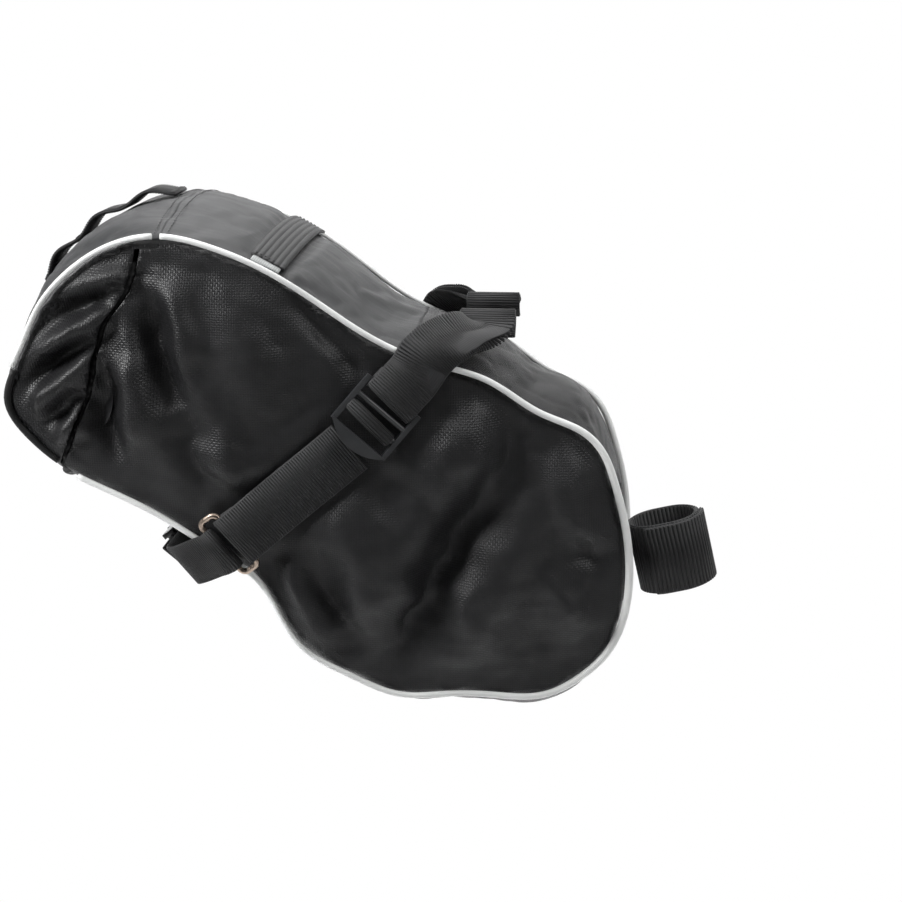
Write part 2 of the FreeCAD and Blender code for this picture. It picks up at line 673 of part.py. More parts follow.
def in_buckle(shape):
    return placed(shape, buckle_origin, buckle_u, buckle_w, buckle_n)


deep = BUCKLE_THICKNESS / 2
socket = block(0, SOCKET_LENGTH - 7, -half, half, -deep, deep)
socket = socket.cut(block(-1, SOCKET_DEPTH, -CAVITY, CAVITY, SKIN - deep, deep - SKIN))
socket = socket.cut(block(WINDOW[0], WINDOW[1], -half - 1, half + 1, -2.8, 2.8))
bar_x = SOCKET_LENGTH - END_BAR
ears = [block(SOCKET_LENGTH - 7.5, SOCKET_LENGTH, min(k * SLOT, k * half), max(k * SLOT, k * half), -2.5, 2.5)
        for k in (-1, 1)]
end_bar = Part.makeCylinder(END_BAR, 2 * SLOT + 2, V(bar_x, -SLOT - 1, 0), V(0, 1, 0))
save("buckle_socket", in_buckle(one(socket.multiFuse(ears + [end_bar]))))

FACE = -0.3                 # plug's shoulder stops this short of the socket's mouth
BAR_WIDE = 3.6
plug_thick = 3.3
plug_parts = [block(-PLUG_LENGTH, FACE, min(k * SLOT, k * half), max(k * SLOT, k * half), -plug_thick, plug_thick)
              for k in (-1, 1)]
plug_parts.append(block(FACE - 3, FACE, -half, half, -plug_thick, plug_thick))
web_gap = WEB / 2 + RUN
for x, level in ((-PLUG_LENGTH, -1), (-PLUG_LENGTH + 4.6, 1), (FACE - 7.0, -1)):
    heights = sorted((level * web_gap, level * plug_thick))
    plug_parts.append(block(x, x + BAR_WIDE, -SLOT - 1, SLOT + 1, heights[0], heights[1]))
plug_parts.append(block(FACE - 1, PRONG_LENGTH - 2, -TONGUE_WIDTH / 2, TONGUE_WIDTH / 2, -1.2, 1.2))
save("buckle_plug", in_buckle(one(plug_parts[0].multiFuse(plug_parts[1:]))))
prong_out = CAVITY - SLIDE_FIT
prong = block(0, PRONG_LENGTH, prong_out - PRONG_WIDTH, prong_out, -PRONG_THICKNESS / 2, PRONG_THICKNESS / 2)
save("buckle_prong_lower", in_buckle(prong))
prong = block(0, PRONG_LENGTH, -prong_out, PRONG_WIDTH - prong_out, -PRONG_THICKNESS / 2, PRONG_THICKNESS / 2)
save("buckle_prong_upper", in_buckle(prong))

# Webbing: a tail through the plug, a strap from each ring, and the anchor sewn under the bag
TAIL = 18.0                 # free end of webbing beyond the plug
tail_end = FACE - 3 - RUN


def buckle_point(along, level):
    return buckle_origin + buckle_u * along + buckle_n * level


tail_run = [buckle_point(k, -WEB / 2) for k in steps(-PLUG_LENGTH - TAIL, tail_end, 5)]
save("strap_tail", band(tail_run, [buckle_w] * 5, [buckle_n] * 5, CROSS_WIDTH, WEB))

u_corner = outline.parameter(ring_at + lower_along * 14)
corner_seam, _, corner_normal = seam_frame(u_corner)
corner_y = -half_width(corner_seam.x)
far_bar = ring_origin + ring_d * (RING_PITCH / 2)
STRAP_LEVEL = -plug_thick - 2 * RUN - WEB   # the right strap passes between the plug and the bag
narrow = ring_w
turn_out = (V(0, -1, 0) + corner_normal).normalize()
bend_w = (narrow + buckle_w).normalize()


def square_to(direction, across):
    return (direction - across * direction.dot(across)).normalize()


def cross_start():
    """Webbing round the ring's lower bar and over the seam, on the right."""
    first = ([far_bar + ring_d - ring_normal * (RING_WIRE + RUN)], [ring_w], [-ring_normal])
    turn = looped(far_bar, -ring_d, ring_normal, ring_w, RING_WIRE + RUN, -90, 180, 9)
    over = V(corner_seam.x, corner_y, corner_seam.z) + turn_out * (PIPING_RADIUS + 3.8)
    return joined(first, turn, ([over], [narrow], [square_to(turn_out, narrow)]))


approach = buckle_point(-PLUG_LENGTH - PULL - 4, STRAP_LEVEL)
under_side = ([approach], [bend_w], [square_to(buckle_n, bend_w)])
straight = [buckle_point(k, STRAP_LEVEL) for k in (-PLUG_LENGTH - PULL + 4, -PLUG_LENGTH - 4, -8.0)]
right_end = (straight, [buckle_w] * 3, [buckle_n] * 3)
save("cross_strap_right", band(*joined(cross_start(), under_side, right_end), CROSS_WIDTH, WEB))

start_left = [[V(p.x, -p.y, p.z) for p in run] for run in cross_start()]
bar_at = buckle_point(bar_x, 0)
left_way = [buckle_point(SOCKET_LENGTH + 16, 3.0), buckle_point(SOCKET_LENGTH + 6, END_BAR + RUN + 0.5)]
left_mid = (left_way, [bend_w, buckle_w], [square_to(buckle_n, bend_w), buckle_n])
left_last = ([buckle_point(SOCKET_LENGTH + 4, -END_BAR - RUN)], [buckle_w], [-buckle_n])
left_turn = looped(bar_at, -buckle_u, -buckle_n, buckle_w, END_BAR + RUN, -90, 180, 9)
save("cross_strap_left", band(*joined(start_left, left_mid, left_turn, left_last), CROSS_WIDTH, WEB))

ANCHOR = [(0.352, 0.335), (0.392, 0.300), (0.430, 0.215)]
anchor_us = steps(station(ANCHOR[-1]), station(ANCHOR[0]), 9)
anchor_path = [gusset_point(u, 0, LIE / 2) for u in anchor_us]
save("anchor_webbing", band(anchor_path, [V(0, 1, 0)] * 9, [seam_frame(u)[2] for u in anchor_us],
                            CROSS_WIDTH, WEB))

# --- Seat-post strap: a closed loop with a hook-and-loop flap over its right side ---
tilt = math.radians(POST_TILT)
post_axis = V(-math.sin(tilt), 0, math.cos(tilt))
post_forward = V(math.cos(tilt), 0, math.sin(tilt))
LEFT = V(0, 1, 0)


def oval(radius, height):
    """Prism of the loop's outline at this radius: two half circles POST_SLACK apart."""
    top = Part.Arc(V(0, radius, 0), V(-radius, 0, 0), V(0, -radius, 0)).toShape()
    low = Part.LineSegment(V(0, -radius, 0), V(POST_SLACK, -radius, 0)).toShape()
    nose = Part.Arc(V(POST_SLACK, -radius, 0), V(POST_SLACK + radius, 0, 0), V(POST_SLACK, radius, 0)).toShape()
    back_side = Part.LineSegment(V(POST_SLACK, radius, 0), V(0, radius, 0)).toShape()
    face = Part.Face(Part.Wire([top, low, nose, back_side]))
    return face.extrude(V(0, 0, height))


def on_post(shape):
    return placed(shape, post_axis * (-POST_STRAP_WIDTH / 2), post_forward, LEFT, post_axis)


strap_outer = POST_RADIUS + POST_STRAP
save("post_strap", on_post(one(oval(strap_outer, POST_STRAP_WIDTH).cut(oval(POST_RADIUS, POST_STRAP_WIDTH)))))
FLAP_INSET = 0.5
flap_in = strap_outer + RUN
flap_out = flap_in + POST_STRAP
FLAP_END = -6.0             # the flap reaches this far back round the post
PIVOT_Y = 3.0
flap_ring = oval(flap_out, POST_STRAP_WIDTH - 2 * FLAP_INSET).cut(oval(flap_in, POST_STRAP_WIDTH))
keep = block(FLAP_END, 60, -60, PIVOT_Y, -1, POST_STRAP_WIDTH + 1)
flap = one(flap_ring.common(keep))
flap.translate(V(0, 0, FLAP_INSET))
save("post_flap", on_post(flap))

PATCH_HALF = 20.0
PATCH_LIFT = 2.2            # loose over the pressed-in front of the bag
save("post_patch", gusset_sheet(station((0.992, 0.40)), station((0.993, 0.170)), PATCH_LIFT, WEB,
                                FRONT_HALF_WIDTH - PATCH_HALF))
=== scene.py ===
"""Cloth, webbing and fittings of a bicycle saddle bag, built over its fixed CAD frame."""

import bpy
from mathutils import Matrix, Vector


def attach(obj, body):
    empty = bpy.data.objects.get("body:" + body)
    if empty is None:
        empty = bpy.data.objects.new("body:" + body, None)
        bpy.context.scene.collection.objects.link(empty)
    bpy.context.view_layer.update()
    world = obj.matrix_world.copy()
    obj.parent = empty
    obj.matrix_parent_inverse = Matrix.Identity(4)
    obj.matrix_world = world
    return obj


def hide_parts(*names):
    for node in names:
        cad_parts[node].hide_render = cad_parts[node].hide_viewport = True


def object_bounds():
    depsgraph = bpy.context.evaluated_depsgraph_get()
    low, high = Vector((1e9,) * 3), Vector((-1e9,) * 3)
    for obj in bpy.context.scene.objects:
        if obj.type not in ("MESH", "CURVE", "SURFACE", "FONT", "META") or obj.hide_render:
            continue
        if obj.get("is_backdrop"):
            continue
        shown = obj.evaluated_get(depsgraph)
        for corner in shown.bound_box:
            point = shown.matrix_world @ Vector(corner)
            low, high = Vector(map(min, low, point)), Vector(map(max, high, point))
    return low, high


bl_info = {
    "name": "Saddle bag",
    "version": (1, 0, 0),
    "blender": (4, 5, 0),
    "location": "View3D > Sidebar > Saddle bag",
    "description": "Builds the cloth, webbing, buckle and trim of a bicycle saddle bag",
    "category": "Add Mesh",
}

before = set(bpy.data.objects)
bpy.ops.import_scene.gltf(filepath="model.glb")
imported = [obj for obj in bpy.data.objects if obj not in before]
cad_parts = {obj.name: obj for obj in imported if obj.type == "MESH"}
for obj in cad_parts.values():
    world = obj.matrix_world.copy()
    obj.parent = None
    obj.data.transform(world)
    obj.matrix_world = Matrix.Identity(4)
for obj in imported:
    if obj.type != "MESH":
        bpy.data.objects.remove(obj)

import math

import bmesh
import bpy
import numpy as np
from bpy.props import FloatProperty, FloatVectorProperty, IntProperty, PointerProperty
from mathutils import Vector

SIDES = (("right", -1), ("left", 1))


# ---------------------------------------------------------------- settings


def colour(red, green, blue):
    """A colour setting with this default."""
    return FloatVectorProperty(subtype="COLOR", size=3, min=0, max=1, default=(red, green, blue))


class SaddleBagSizes(bpy.types.PropertyGroup):
    """Sizes, in metres, that the pieces are built from."""

    length: FloatProperty(default=0.307)
    height: FloatProperty(default=0.238)
    front_gap: FloatProperty(default=0.019)
    below_strap: FloatProperty(default=0.064)
    rear_half: FloatProperty(default=0.075)
    front_half: FloatProperty(default=0.046)
    bulge: FloatProperty(default=0.007)
    top_crown: FloatProperty(default=0.012)
    rear_crown: FloatProperty(default=0.014)
    front_crown: FloatProperty(default=-0.0035)
    bottom_crown: FloatProperty(default=0.021)
    cloth: FloatProperty(default=0.0012)
    cell: FloatProperty(default=0.0045)
    slack: FloatProperty(default=0.008)
    cord: FloatProperty(default=0.00145)
    webbing: FloatProperty(default=0.0016)
    web_width: FloatProperty(default=0.028)
    cross_width: FloatProperty(default=0.025)
    rib_pitch: FloatProperty(default=0.00135)
    stitch_pitch: FloatProperty(default=0.0032)
    thread: FloatProperty(default=0.00028)
    frames: IntProperty(default=20)


class SaddleBagColours(bpy.types.PropertyGroup):
    """Base colours of the materials."""

    nylon: colour(0.0075, 0.0075, 0.0082)
    coated: colour(0.020, 0.0205, 0.022)
    lining: colour(0.020, 0.020, 0.022)
    elastic: colour(0.014, 0.014, 0.015)
    piping: colour(0.80, 0.81, 0.80)
    webbing: colour(0.011, 0.011, 0.012)
    tab: colour(0.30, 0.31, 0.31)
    lock: colour(0.030, 0.031, 0.033)
    buckle: colour(0.010, 0.010, 0.011)
    ring: colour(0.42, 0.34, 0.28)
    backdrop: colour(0.93, 0.93, 0.93)


def sizes():
    """The sizes in use."""
    return bpy.context.scene.saddle_bag_sizes


def colours():
    """The colours in use."""
    return bpy.context.scene.saddle_bag_colours


# ---------------------------------------------------------------- shape of the bag

OUTLINE = (
    (0.085, 0.524), (0.037, 0.576), (0.0, 0.66), (0.013, 0.719), (0.036, 0.779), (0.065, 0.853),
    (0.114, 0.924), (0.168, 0.971), (0.261, 1.0), (0.334, 0.982), (0.410, 0.943), (0.492, 0.878),
    (0.580, 0.798), (0.671, 0.742), (0.769, 0.699), (0.853, 0.628), (0.923, 0.584), (0.951, 0.545),
    (0.972, 0.479), (0.989, 0.397), (1.0, 0.254), (0.991, 0.169), (0.968, 0.101), (0.926, 0.047),
    (0.866, 0.008), (0.772, 0.0126), (0.70, 0.017), (0.63, 0.019), (0.551, 0.064), (0.466, 0.141),
    (0.405, 0.279), (0.329, 0.353), (0.241, 0.424), (0.160, 0.475),
)
LID_SEAM = (0.261, 1.0)
TOP_SEAM = (0.640, 0.757)
LOW_SEAM = (0.900, 0.025)
MIDDLE = (0.50, 0.47)
HEM_LINE = ((0.222, 0.975), (0.209, 0.905), (0.163, 0.811), (0.140, 0.697), (0.112, 0.600), (0.090, 0.545))
CROSSING = (0.671, 0.742)
LOCK_TOP = (0.6163, 0.6718)
LOCK_FOOT = (0.541, 0.563)
RING_AT = (0.3615, 0.374)


def unit(v):
    """Vector or array of vectors, each of length one."""
    v = np.asarray(v, float)
    return v / np.maximum(np.linalg.norm(v, axis=-1, keepdims=True), 1e-12)


def at(share):
    """Point (x, z) from shares of the bag's length and height."""
    s = sizes()
    return np.array([-s.front_gap - s.length * (1 - share[0]), s.height * share[1] - s.below_strap])


class Seam:
    """Closed seam outline of the side panels, measured by its length from the lid's lower hem."""

    def __init__(self, count=1600):
        points = np.array([at(p) for p in OUTLINE])
        knots = np.concatenate([[0], np.cumsum(np.linalg.norm(np.roll(points, -1, 0) - points, axis=1))])
        n = len(points)
        h = np.diff(knots)
        system = np.zeros((n, n))
        right = np.zeros((n, 2))
        for i in range(n):
            a, b = h[i - 1], h[i]
            system[i, i - 1] += a
            system[i, i] += 2 * (a + b)
            system[i, (i + 1) % n] += b
            right[i] = 6 * ((points[(i + 1) % n] - points[i]) / b - (points[i] - points[i - 1]) / a)
        bend = np.linalg.solve(system, right)
        t = np.linspace(0, knots[-1], count, endpoint=False)
        i = np.clip(np.searchsorted(knots, t, side="right") - 1, 0, n - 1)
        j = (i + 1) % n
        low, high, step = (t - knots[i])[:, None], (knots[i + 1] - t)[:, None], h[i][:, None]
        self.p = (bend[i] * high**3 + bend[j] * low**3) / (6 * step)
        self.p += (points[i] / step - bend[i] * step / 6) * high
        self.p += (points[j] / step - bend[j] * step / 6) * low
        self.along = unit(np.roll(self.p, -1, 0) - np.roll(self.p, 1, 0))
        self.out = np.stack([-self.along[:, 1], self.along[:, 0]], 1)
        self.s = np.concatenate([[0], np.cumsum(np.linalg.norm(np.roll(self.p, -1, 0) - self.p, axis=1))])
        self.length = self.s[-1]

    def place(self, share):
        """Length along the outline nearest to a named place."""
        return self.s[np.argmin(np.linalg.norm(self.p - at(share), axis=1))]

    def look(self, s):
        """Points, directions and outward directions at lengths s."""
        s = np.mod(np.asarray(s, float), self.length)
        found = []
        for values in (self.p, self.along, self.out):
            closed = np.vstack([values, values[:1]])
            found.append(np.stack([np.interp(s, self.s, closed[:, k]) for k in (0, 1)], 1))
        return found[0], unit(found[1]), unit(found[2])

    def nearest(self, xz):
        """Length along the outline and distance from it, for each point."""
        batch, stride = 4000, 4
        s, gap = np.empty(len(xz)), np.empty(len(xz))
        for i in range(0, len(xz), batch):
            d = np.linalg.norm(xz[i : i + batch, None] - self.p[None, ::stride], axis=2)
            k = d.argmin(1)
            s[i : i + batch] = self.s[:-1][::stride][k]
            gap[i : i + batch] = d[np.arange(len(k)), k]
        return s, gap


def half_width(x):
    """Half-width of the bag at its seam."""
    s = sizes()
    start, end = at((0.41, 0))[0], at((0.964, 0))[0]
    t = (np.asarray(x, float) - start) / (end - start)
    soft = 0.15
    share = np.where(t <= -soft, 0, np.where(t < soft, (t + soft) ** 2 / (4 * soft), t))
    return s.rear_half - (s.rear_half - s.front_half) * np.minimum(share, 1.03)


def crown(out):
    """Crown of the gusset where the seam faces this way."""
    s = sizes()
    up = np.where(out[:, 1] > 0, s.top_crown, s.bottom_crown)
    front = np.where(out[:, 0] > 0, s.front_crown, s.rear_crown)
    return up * out[:, 1] ** 2 + front * out[:, 0] ** 2


def gusset(seam, s, t, lift=0.0):
    """Points of the gusset at lengths s along it, t from -1 on the right to +1 on the left."""
    p, _, out = seam.look(s)
    raised = p + out * (crown(out) * (1 - np.asarray(t) ** 2) + lift)[:, None]
    return np.stack([raised[:, 0], t * half_width(p[:, 0]), raised[:, 1]], 1)


class Panel:
    """Bulging right side panel, as a height field over the centre plane."""

    def __init__(self, seam):
        self.middle = at(MIDDLE)
        rim = seam.p - self.middle
        order = np.argsort(np.arctan2(rim[:, 1], rim[:, 0]))
        self.angle = np.arctan2(rim[:, 1], rim[:, 0])[order]
        self.reach = np.linalg.norm(rim, axis=1)[order]

    def half(self, xz):
        """Half-width at the panel's outer face."""
        d = np.atleast_2d(xz) - self.middle
        reach = np.interp(np.arctan2(d[:, 1], d[:, 0]), self.angle, self.reach, period=2 * math.pi)
        return half_width(d[:, 0] + self.middle[0]) + sizes().bulge * (1 - (d**2).sum(1) / reach**2)

    def point(self, xz, lift=0.0):
        """Point of the right panel raised by lift, and its outward direction."""
        e = 0.002
        x, z = xz
        around = self.half([(x + e, z), (x - e, z), (x, z + e), (x, z - e), (x, z)])
        normal = unit([-(around[0] - around[1]) / (2 * e), -1, -(around[2] - around[3]) / (2 * e)])
        return np.array([x, -around[4], z]) + normal * lift, normal


# ---------------------------------------------------------------- meshes


def new_object(name, points, faces, smooth=True):
    """Mesh object at the origin with these points and faces."""
    mesh = bpy.data.meshes.new(name)
    mesh.from_pydata([tuple(map(float, p)) for p in points], [], [tuple(map(int, f)) for f in faces])
    mesh.update()
    if smooth:
        mesh.shade_smooth()
    obj = bpy.data.objects.new(name, mesh)
    bpy.context.scene.collection.objects.link(obj)
    return obj


def coordinates(obj):
    """Vertex positions as an array."""
    values = np.empty(len(obj.data.vertices) * 3)
    obj.data.vertices.foreach_get("co", values)
    return values.reshape(-1, 3)


def set_coordinates(obj, points):
    """Moves the vertices."""
    obj.data.vertices.foreach_set("co", np.ascontiguousarray(points, float).ravel())
    obj.data.update()


def normals(obj):
    """Vertex normals as an array."""
    values = np.empty(len(obj.data.vertices) * 3)
    obj.data.vertex_normals.foreach_get("vector", values)
    return values.reshape(-1, 3)


def applied(obj):
    """Replaces the object's mesh with what its modifiers make of it."""
    bpy.context.view_layer.update()
    graph = bpy.context.evaluated_depsgraph_get()
    mesh = bpy.data.meshes.new_from_object(obj.evaluated_get(graph), depsgraph=graph)
    mesh.name = obj.name
    obj.modifiers.clear()
    obj.data = mesh
    return obj


def modified(obj, kind, **settings):
    """Adds a modifier with these settings and applies it."""
    modifier = obj.modifiers.new(kind.title(), kind)
    for name, value in settings.items():
        setattr(modifier, name, value)
    return applied(obj)


def erase(*objects):
    """Removes working objects."""
    for obj in objects:
        bpy.data.objects.remove(obj, do_unlink=True)


def grid_faces(rows, columns, closed_rows=False, closed_columns=False, first=0):
    """Quads between rows of points."""
    faces = []
    for i in range(rows if closed_rows else rows - 1):
        for j in range(columns if closed_columns else columns - 1):
            a, b = i * columns + j, i * columns + (j + 1) % columns
            k = ((i + 1) % rows) * columns
            faces.append((first + a, first + k + j, first + k + (j + 1) % columns, first + b))
    return faces


def set_map(obj, values, name="cloth"):
    """Writes a flat map, in metres, from one (u, v) per vertex."""
    layer = obj.data.uv_layers.new(name=name)
    corner = np.empty(len(obj.data.loops), dtype=np.int32)
    obj.data.loops.foreach_get("vertex_index", corner)
    layer.data.foreach_set("uv", np.ascontiguousarray(values[corner], float).ravel())


def finish_piece(obj, surface, slot, body, *replaced):
    """Gives a finished piece its material, the body it rides on and the CAD nodes it stands for; slot is not
    used.
    """
    obj.data.materials.clear()
    obj.data.materials.append(surface)
    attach(obj, body)
    if replaced:
        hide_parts(*replaced)
    return obj


def noise(points, pitch, seed):
    """Smooth noise between -1 and 1 with bumps about pitch metres apart."""
    rng = np.random.default_rng(seed)
    q = np.asarray(points, float) / pitch + 97.3
    base = np.floor(q).astype(int)
    part = q - base
    part = part * part * (3 - 2 * part)
    table = rng.uniform(-1, 1, (32, 32, 32))
    total = np.zeros(len(q))
    for corner in np.ndindex(2, 2, 2):
        weight = np.prod(np.where(corner, part, 1 - part), axis=1)
        total += weight * table[tuple(((base + corner) % 32).T)]
    return total


def tube(name, path, radius, sides=10, closed=False):
    """Round cord along a path; radius is one number or one per point."""
    path = np.asarray(path, float)
    ahead = unit(np.roll(path, -1, 0) - np.roll(path, 1, 0)) if closed else unit(np.gradient(path, axis=0))
    radius = np.broadcast_to(radius, len(path))
    up = unit(np.cross(ahead[0], (0.3, 0.9, 0.2)))
    points = []
    for p, d, r in zip(path, ahead, radius):
        up = unit(up - d * (up @ d))
        side = np.cross(d, up)
        for a in np.linspace(0, 2 * math.pi, sides, endpoint=False):
            points.append(p + (up * math.cos(a) + side * math.sin(a)) * r)
    faces = grid_faces(len(path), sides, closed_rows=closed, closed_columns=True)
    if not closed:
        last = (len(path) - 1) * sides
        faces += [tuple(range(sides)), tuple(reversed(range(last, last + sides)))]
    return new_object(name, points, faces)


def resampled(run, step):
    """A run of (path, across, out) with points about step apart, along a smooth curve."""
    path, across, out = (np.asarray(v, float) for v in run)
    s = np.concatenate([[0], np.cumsum(np.linalg.norm(np.diff(path, axis=0), axis=1))])
    t = np.linspace(0, s[-1], max(3, int(s[-1] / step) + 1))
    slope = np.gradient(path, s, axis=0)
    i = np.clip(np.searchsorted(s, t, side="right") - 1, 0, len(s) - 2)
    h = (s[i + 1] - s[i])[:, None]
    q = (t - s[i])[:, None] / h
    smooth = (2 * q**3 - 3 * q**2 + 1) * path[i] + (q**3 - 2 * q**2 + q) * h * slope[i]
    smooth += (3 * q**2 - 2 * q**3) * path[i + 1] + (q**3 - q**2) * h * slope[i + 1]
    wide = unit(across[i] * (1 - q) + across[i + 1] * q)
    away = out[i] * (1 - q) + out[i + 1] * q
    away = unit(away - wide * (away * wide).sum(1, keepdims=True))
    return smooth, wide, away


def ribbon(name, run, width, thickness, step=0.0012, ends=0.0):
    """Flat webbing with rounded edges. The path is its underside; the last ends metres are cut slanting."""
    path, across, out = resampled(run, step)
    count = len(path)
    s = np.concatenate([[0], np.cumsum(np.linalg.norm(np.diff(path, axis=0), axis=1))])
    profile = [(-0.5, 0.5), (-0.485, 0.16), (-0.45, 0.0), (-0.2, 0.0), (0.2, 0.0), (0.45, 0.0), (0.485, 0.16),
               (0.5, 0.5), (0.485, 0.84), (0.45, 1.0), (0.2, 1.0), (-0.2, 1.0), (-0.45, 1.0), (-0.485, 0.84)]
    points, flat = [], []
    for i in range(count):
        for w, h in profile:
            slant = max(0.0, ends - s[i]) * (w + 0.5) if ends else 0.0
            ahead = path[min(i + 1, count - 1)] - path[max(i - 1, 0)]
            points.append(path[i] + across[i] * (w * width) + out[i] * (h * thickness) + unit(ahead) * slant)
            flat.append((s[i], w * width))
    n = len(profile)
    faces = grid_faces(count, n, closed_columns=True)
    faces += [tuple(range(n)), tuple(reversed(range((count - 1) * n, count * n)))]
    obj = new_object(name, points, faces)
    set_map(obj, np.array(flat))
    return obj


# ---------------------------------------------------------------- materials


class Term:
    """A number inside a material, so that its maths reads as ordinary Python."""

    def __init__(self, surface, socket):
        self.surface, self.socket = surface, socket

    def maths(self, operation, *others):
        """This number and others, put through one of the maths node's operations."""
        values = [self.socket] + [o.socket if isinstance(o, Term) else o for o in others]
        return Term(self.surface, self.surface.node("ShaderNodeMath", values, operation=operation).outputs[0])

    def __add__(self, other):
        return self.maths("ADD", other)

    def __sub__(self, other):
        return self.maths("SUBTRACT", other)

    def __mul__(self, other):
        return self.maths("MULTIPLY", other)

    def wave(self):
        """Ridge from 0 to 1 once in each whole number."""
        return (self * math.pi).maths("SINE").maths("ABSOLUTE")

    def step(self, low, high):
        """0 below low and 1 above high."""
        inputs = {0: self.socket, 1: low, 2: high}
        node = self.surface.node("ShaderNodeMapRange", inputs, interpolation_type="SMOOTHSTEP")
        return Term(self.surface, node.outputs[0])


class Surface:
    """Material under construction: one shader whose constants sit on its own sockets."""

    def __init__(self, name, base, roughness, **settings):
        self.material = bpy.data.materials.new(name)
        self.material.use_nodes = True
        self.tree = self.material.node_tree
        self.shader = next(n for n in self.tree.nodes if n.type == "BSDF_PRINCIPLED")
        self.base = tuple(base)
        self.shader.inputs["Base Color"].default_value = (*base, 1)
        self.shader.inputs["Roughness"].default_value = roughness
        for label, value in settings.items():
            self.shader.inputs[label.replace("_", " ").title().replace("Ior", "IOR")].default_value = value

    def node(self, kind, inputs=(), **settings):
        """New node; inputs maps its sockets, by number or name, to values or to other sockets."""
        node = self.tree.nodes.new(kind)
        for name, value in settings.items():
            setattr(node, name, value)
        for key, value in inputs.items() if isinstance(inputs, dict) else enumerate(inputs):
            if isinstance(value, bpy.types.NodeSocket):
                self.tree.links.new(value, node.inputs[key])
            else:
                node.inputs[key].default_value = value
        return node

    def map(self, name="cloth"):
        """The piece's own flat map, in metres, as two terms."""
        split = self.node("ShaderNodeSeparateXYZ", [self.node("ShaderNodeUVMap", uv_map=name).outputs[0]])
        return Term(self, split.outputs[0]), Term(self, split.outputs[1])

    def place(self):
        """Position in the bag's own frame, as a socket."""
        return self.node("ShaderNodeTexCoord").outputs["Object"]

    def mottle(self, per_metre, detail=3.0, at=None):
        """Cloudy variation from 0 to 1."""
        inputs = {"Vector": at or self.place(), "Scale": per_metre, "Detail": detail}
        return Term(self, self.node("ShaderNodeTexNoise", inputs).outputs[0])

    def shade(self, amount):
        """Base colour times a varying term."""
        node = self.node("ShaderNodeMix", {6: (*self.base, 1)}, data_type="RGBA", blend_type="MULTIPLY")
        node.inputs[0].default_value = 1.0
        grey = self.node("ShaderNodeCombineColor", [amount.socket] * 3)
        self.tree.links.new(grey.outputs[0], node.inputs[7])
        self.tree.links.new(node.outputs[2], self.shader.inputs["Base Color"])
        return self

    def rough(self, amount):
        """Varying roughness."""
        self.tree.links.new(amount.socket, self.shader.inputs["Roughness"])
        return self

    def relief(self, height, depth, strength=1.0):
        """Raises the surface by up to depth metres where height is 1."""
        node = self.node("ShaderNodeBump", {"Height": height.socket, "Distance": depth, "Strength": strength})
        before = self.shader.inputs["Normal"].links
        if before:
            self.tree.links.new(before[0].from_socket, node.inputs["Normal"])
        self.tree.links.new(node.outputs[0], self.shader.inputs["Normal"])
        return self


def woven(name, base, pitch, roughness, depth, contrast=0.5, sheen=0.0):
    """Basket-woven cloth, its yarns pitch metres apart in the piece's own map."""
    surface = Surface(name, base, roughness, specular_ior_level=0.36, sheen_weight=sheen, sheen_roughness=0.5)
    u, v = surface.map()
    a, b = u * (1 / pitch), v * (1 / pitch)
    warp, weft = a.wave(), b.wave()
    turn = ((a * math.pi).maths("SINE") * (b * math.pi).maths("SINE")).step(-0.25, 0.25)
    height = warp * turn + weft * (turn * -1 + 1)
    cloud = surface.mottle(26.0)
    surface.shade(height * contrast + cloud * 0.5 + (1.05 - contrast * 0.5 - 0.25))
    surface.rough(height * -0.10 + cloud * 0.16 + (roughness - 0.03))
    return surface.relief(height, depth).material


def coated(name, base):
    """Smooth coated cloth with faint streaks along it."""
    surface = Surface(name, base, 0.5, specular_ior_level=0.4)
    u, v = surface.map()
    fine = (u * 1700).wave() * 0.5 + (v * 1700).wave() * 0.5
    vector = surface.node("ShaderNodeCombineXYZ", [(u * 40).socket, (v * 420).socket])
    streak = surface.mottle(1.0, 2.0, vector.outputs[0])
    surface.shade(streak * 0.55 + fine * 0.25 + 0.62)
    surface.rough(streak * 0.2 + 0.38)
    return surface.relief(fine, 0.00006).relief(streak, 0.00012).material


def webbing_surface(name, base):
    """Tightly woven webbing: fine yarns across the piece's ribs."""
    surface = Surface(name, base, 0.62, specular_ior_level=0.4, sheen_weight=0.06)
    u, v = surface.map()
    yarn = (v * 900).wave()
    cloud = surface.mottle(60.0)
    surface.shade(yarn * 0.5 + cloud * 0.5 + 0.55)
    surface.rough(cloud * 0.2 + 0.5)
    return surface.relief(yarn, 0.00008).material


def elastic_surface(name, base, ribs):
    """Elastic tape with lengthwise ribs."""
    surface = Surface(name, base, 0.6, specular_ior_level=0.4, sheen_weight=0.05)
    u, v = surface.map()
    rib = (v * ribs).wave()
    fine = (u * 900).wave()
    surface.shade(rib * 0.7 + fine * 0.3 + 0.4)
    return surface.relief(rib, 0.0005).relief(fine, 0.00008).material


def piping_surface(name, base):
    """Pale reflective tape over a cord, with a very fine grid and light soiling."""
    surface = Surface(name, base, 0.36, specular_ior_level=0.55, coat_weight=0.15, coat_roughness=0.3)
    cells = surface.node("ShaderNodeTexVoronoi", {"Vector": surface.place(), "Scale": 1500.0})
    cell = Term(surface, cells.outputs[0])
    cloud = surface.mottle(45.0, 4.0)
    surface.shade(cloud.step(0.2, 0.75) * 0.16 + 0.86)
    surface.rough(cloud * 0.25 + 0.25)
    return surface.relief(cell, 0.00005).material


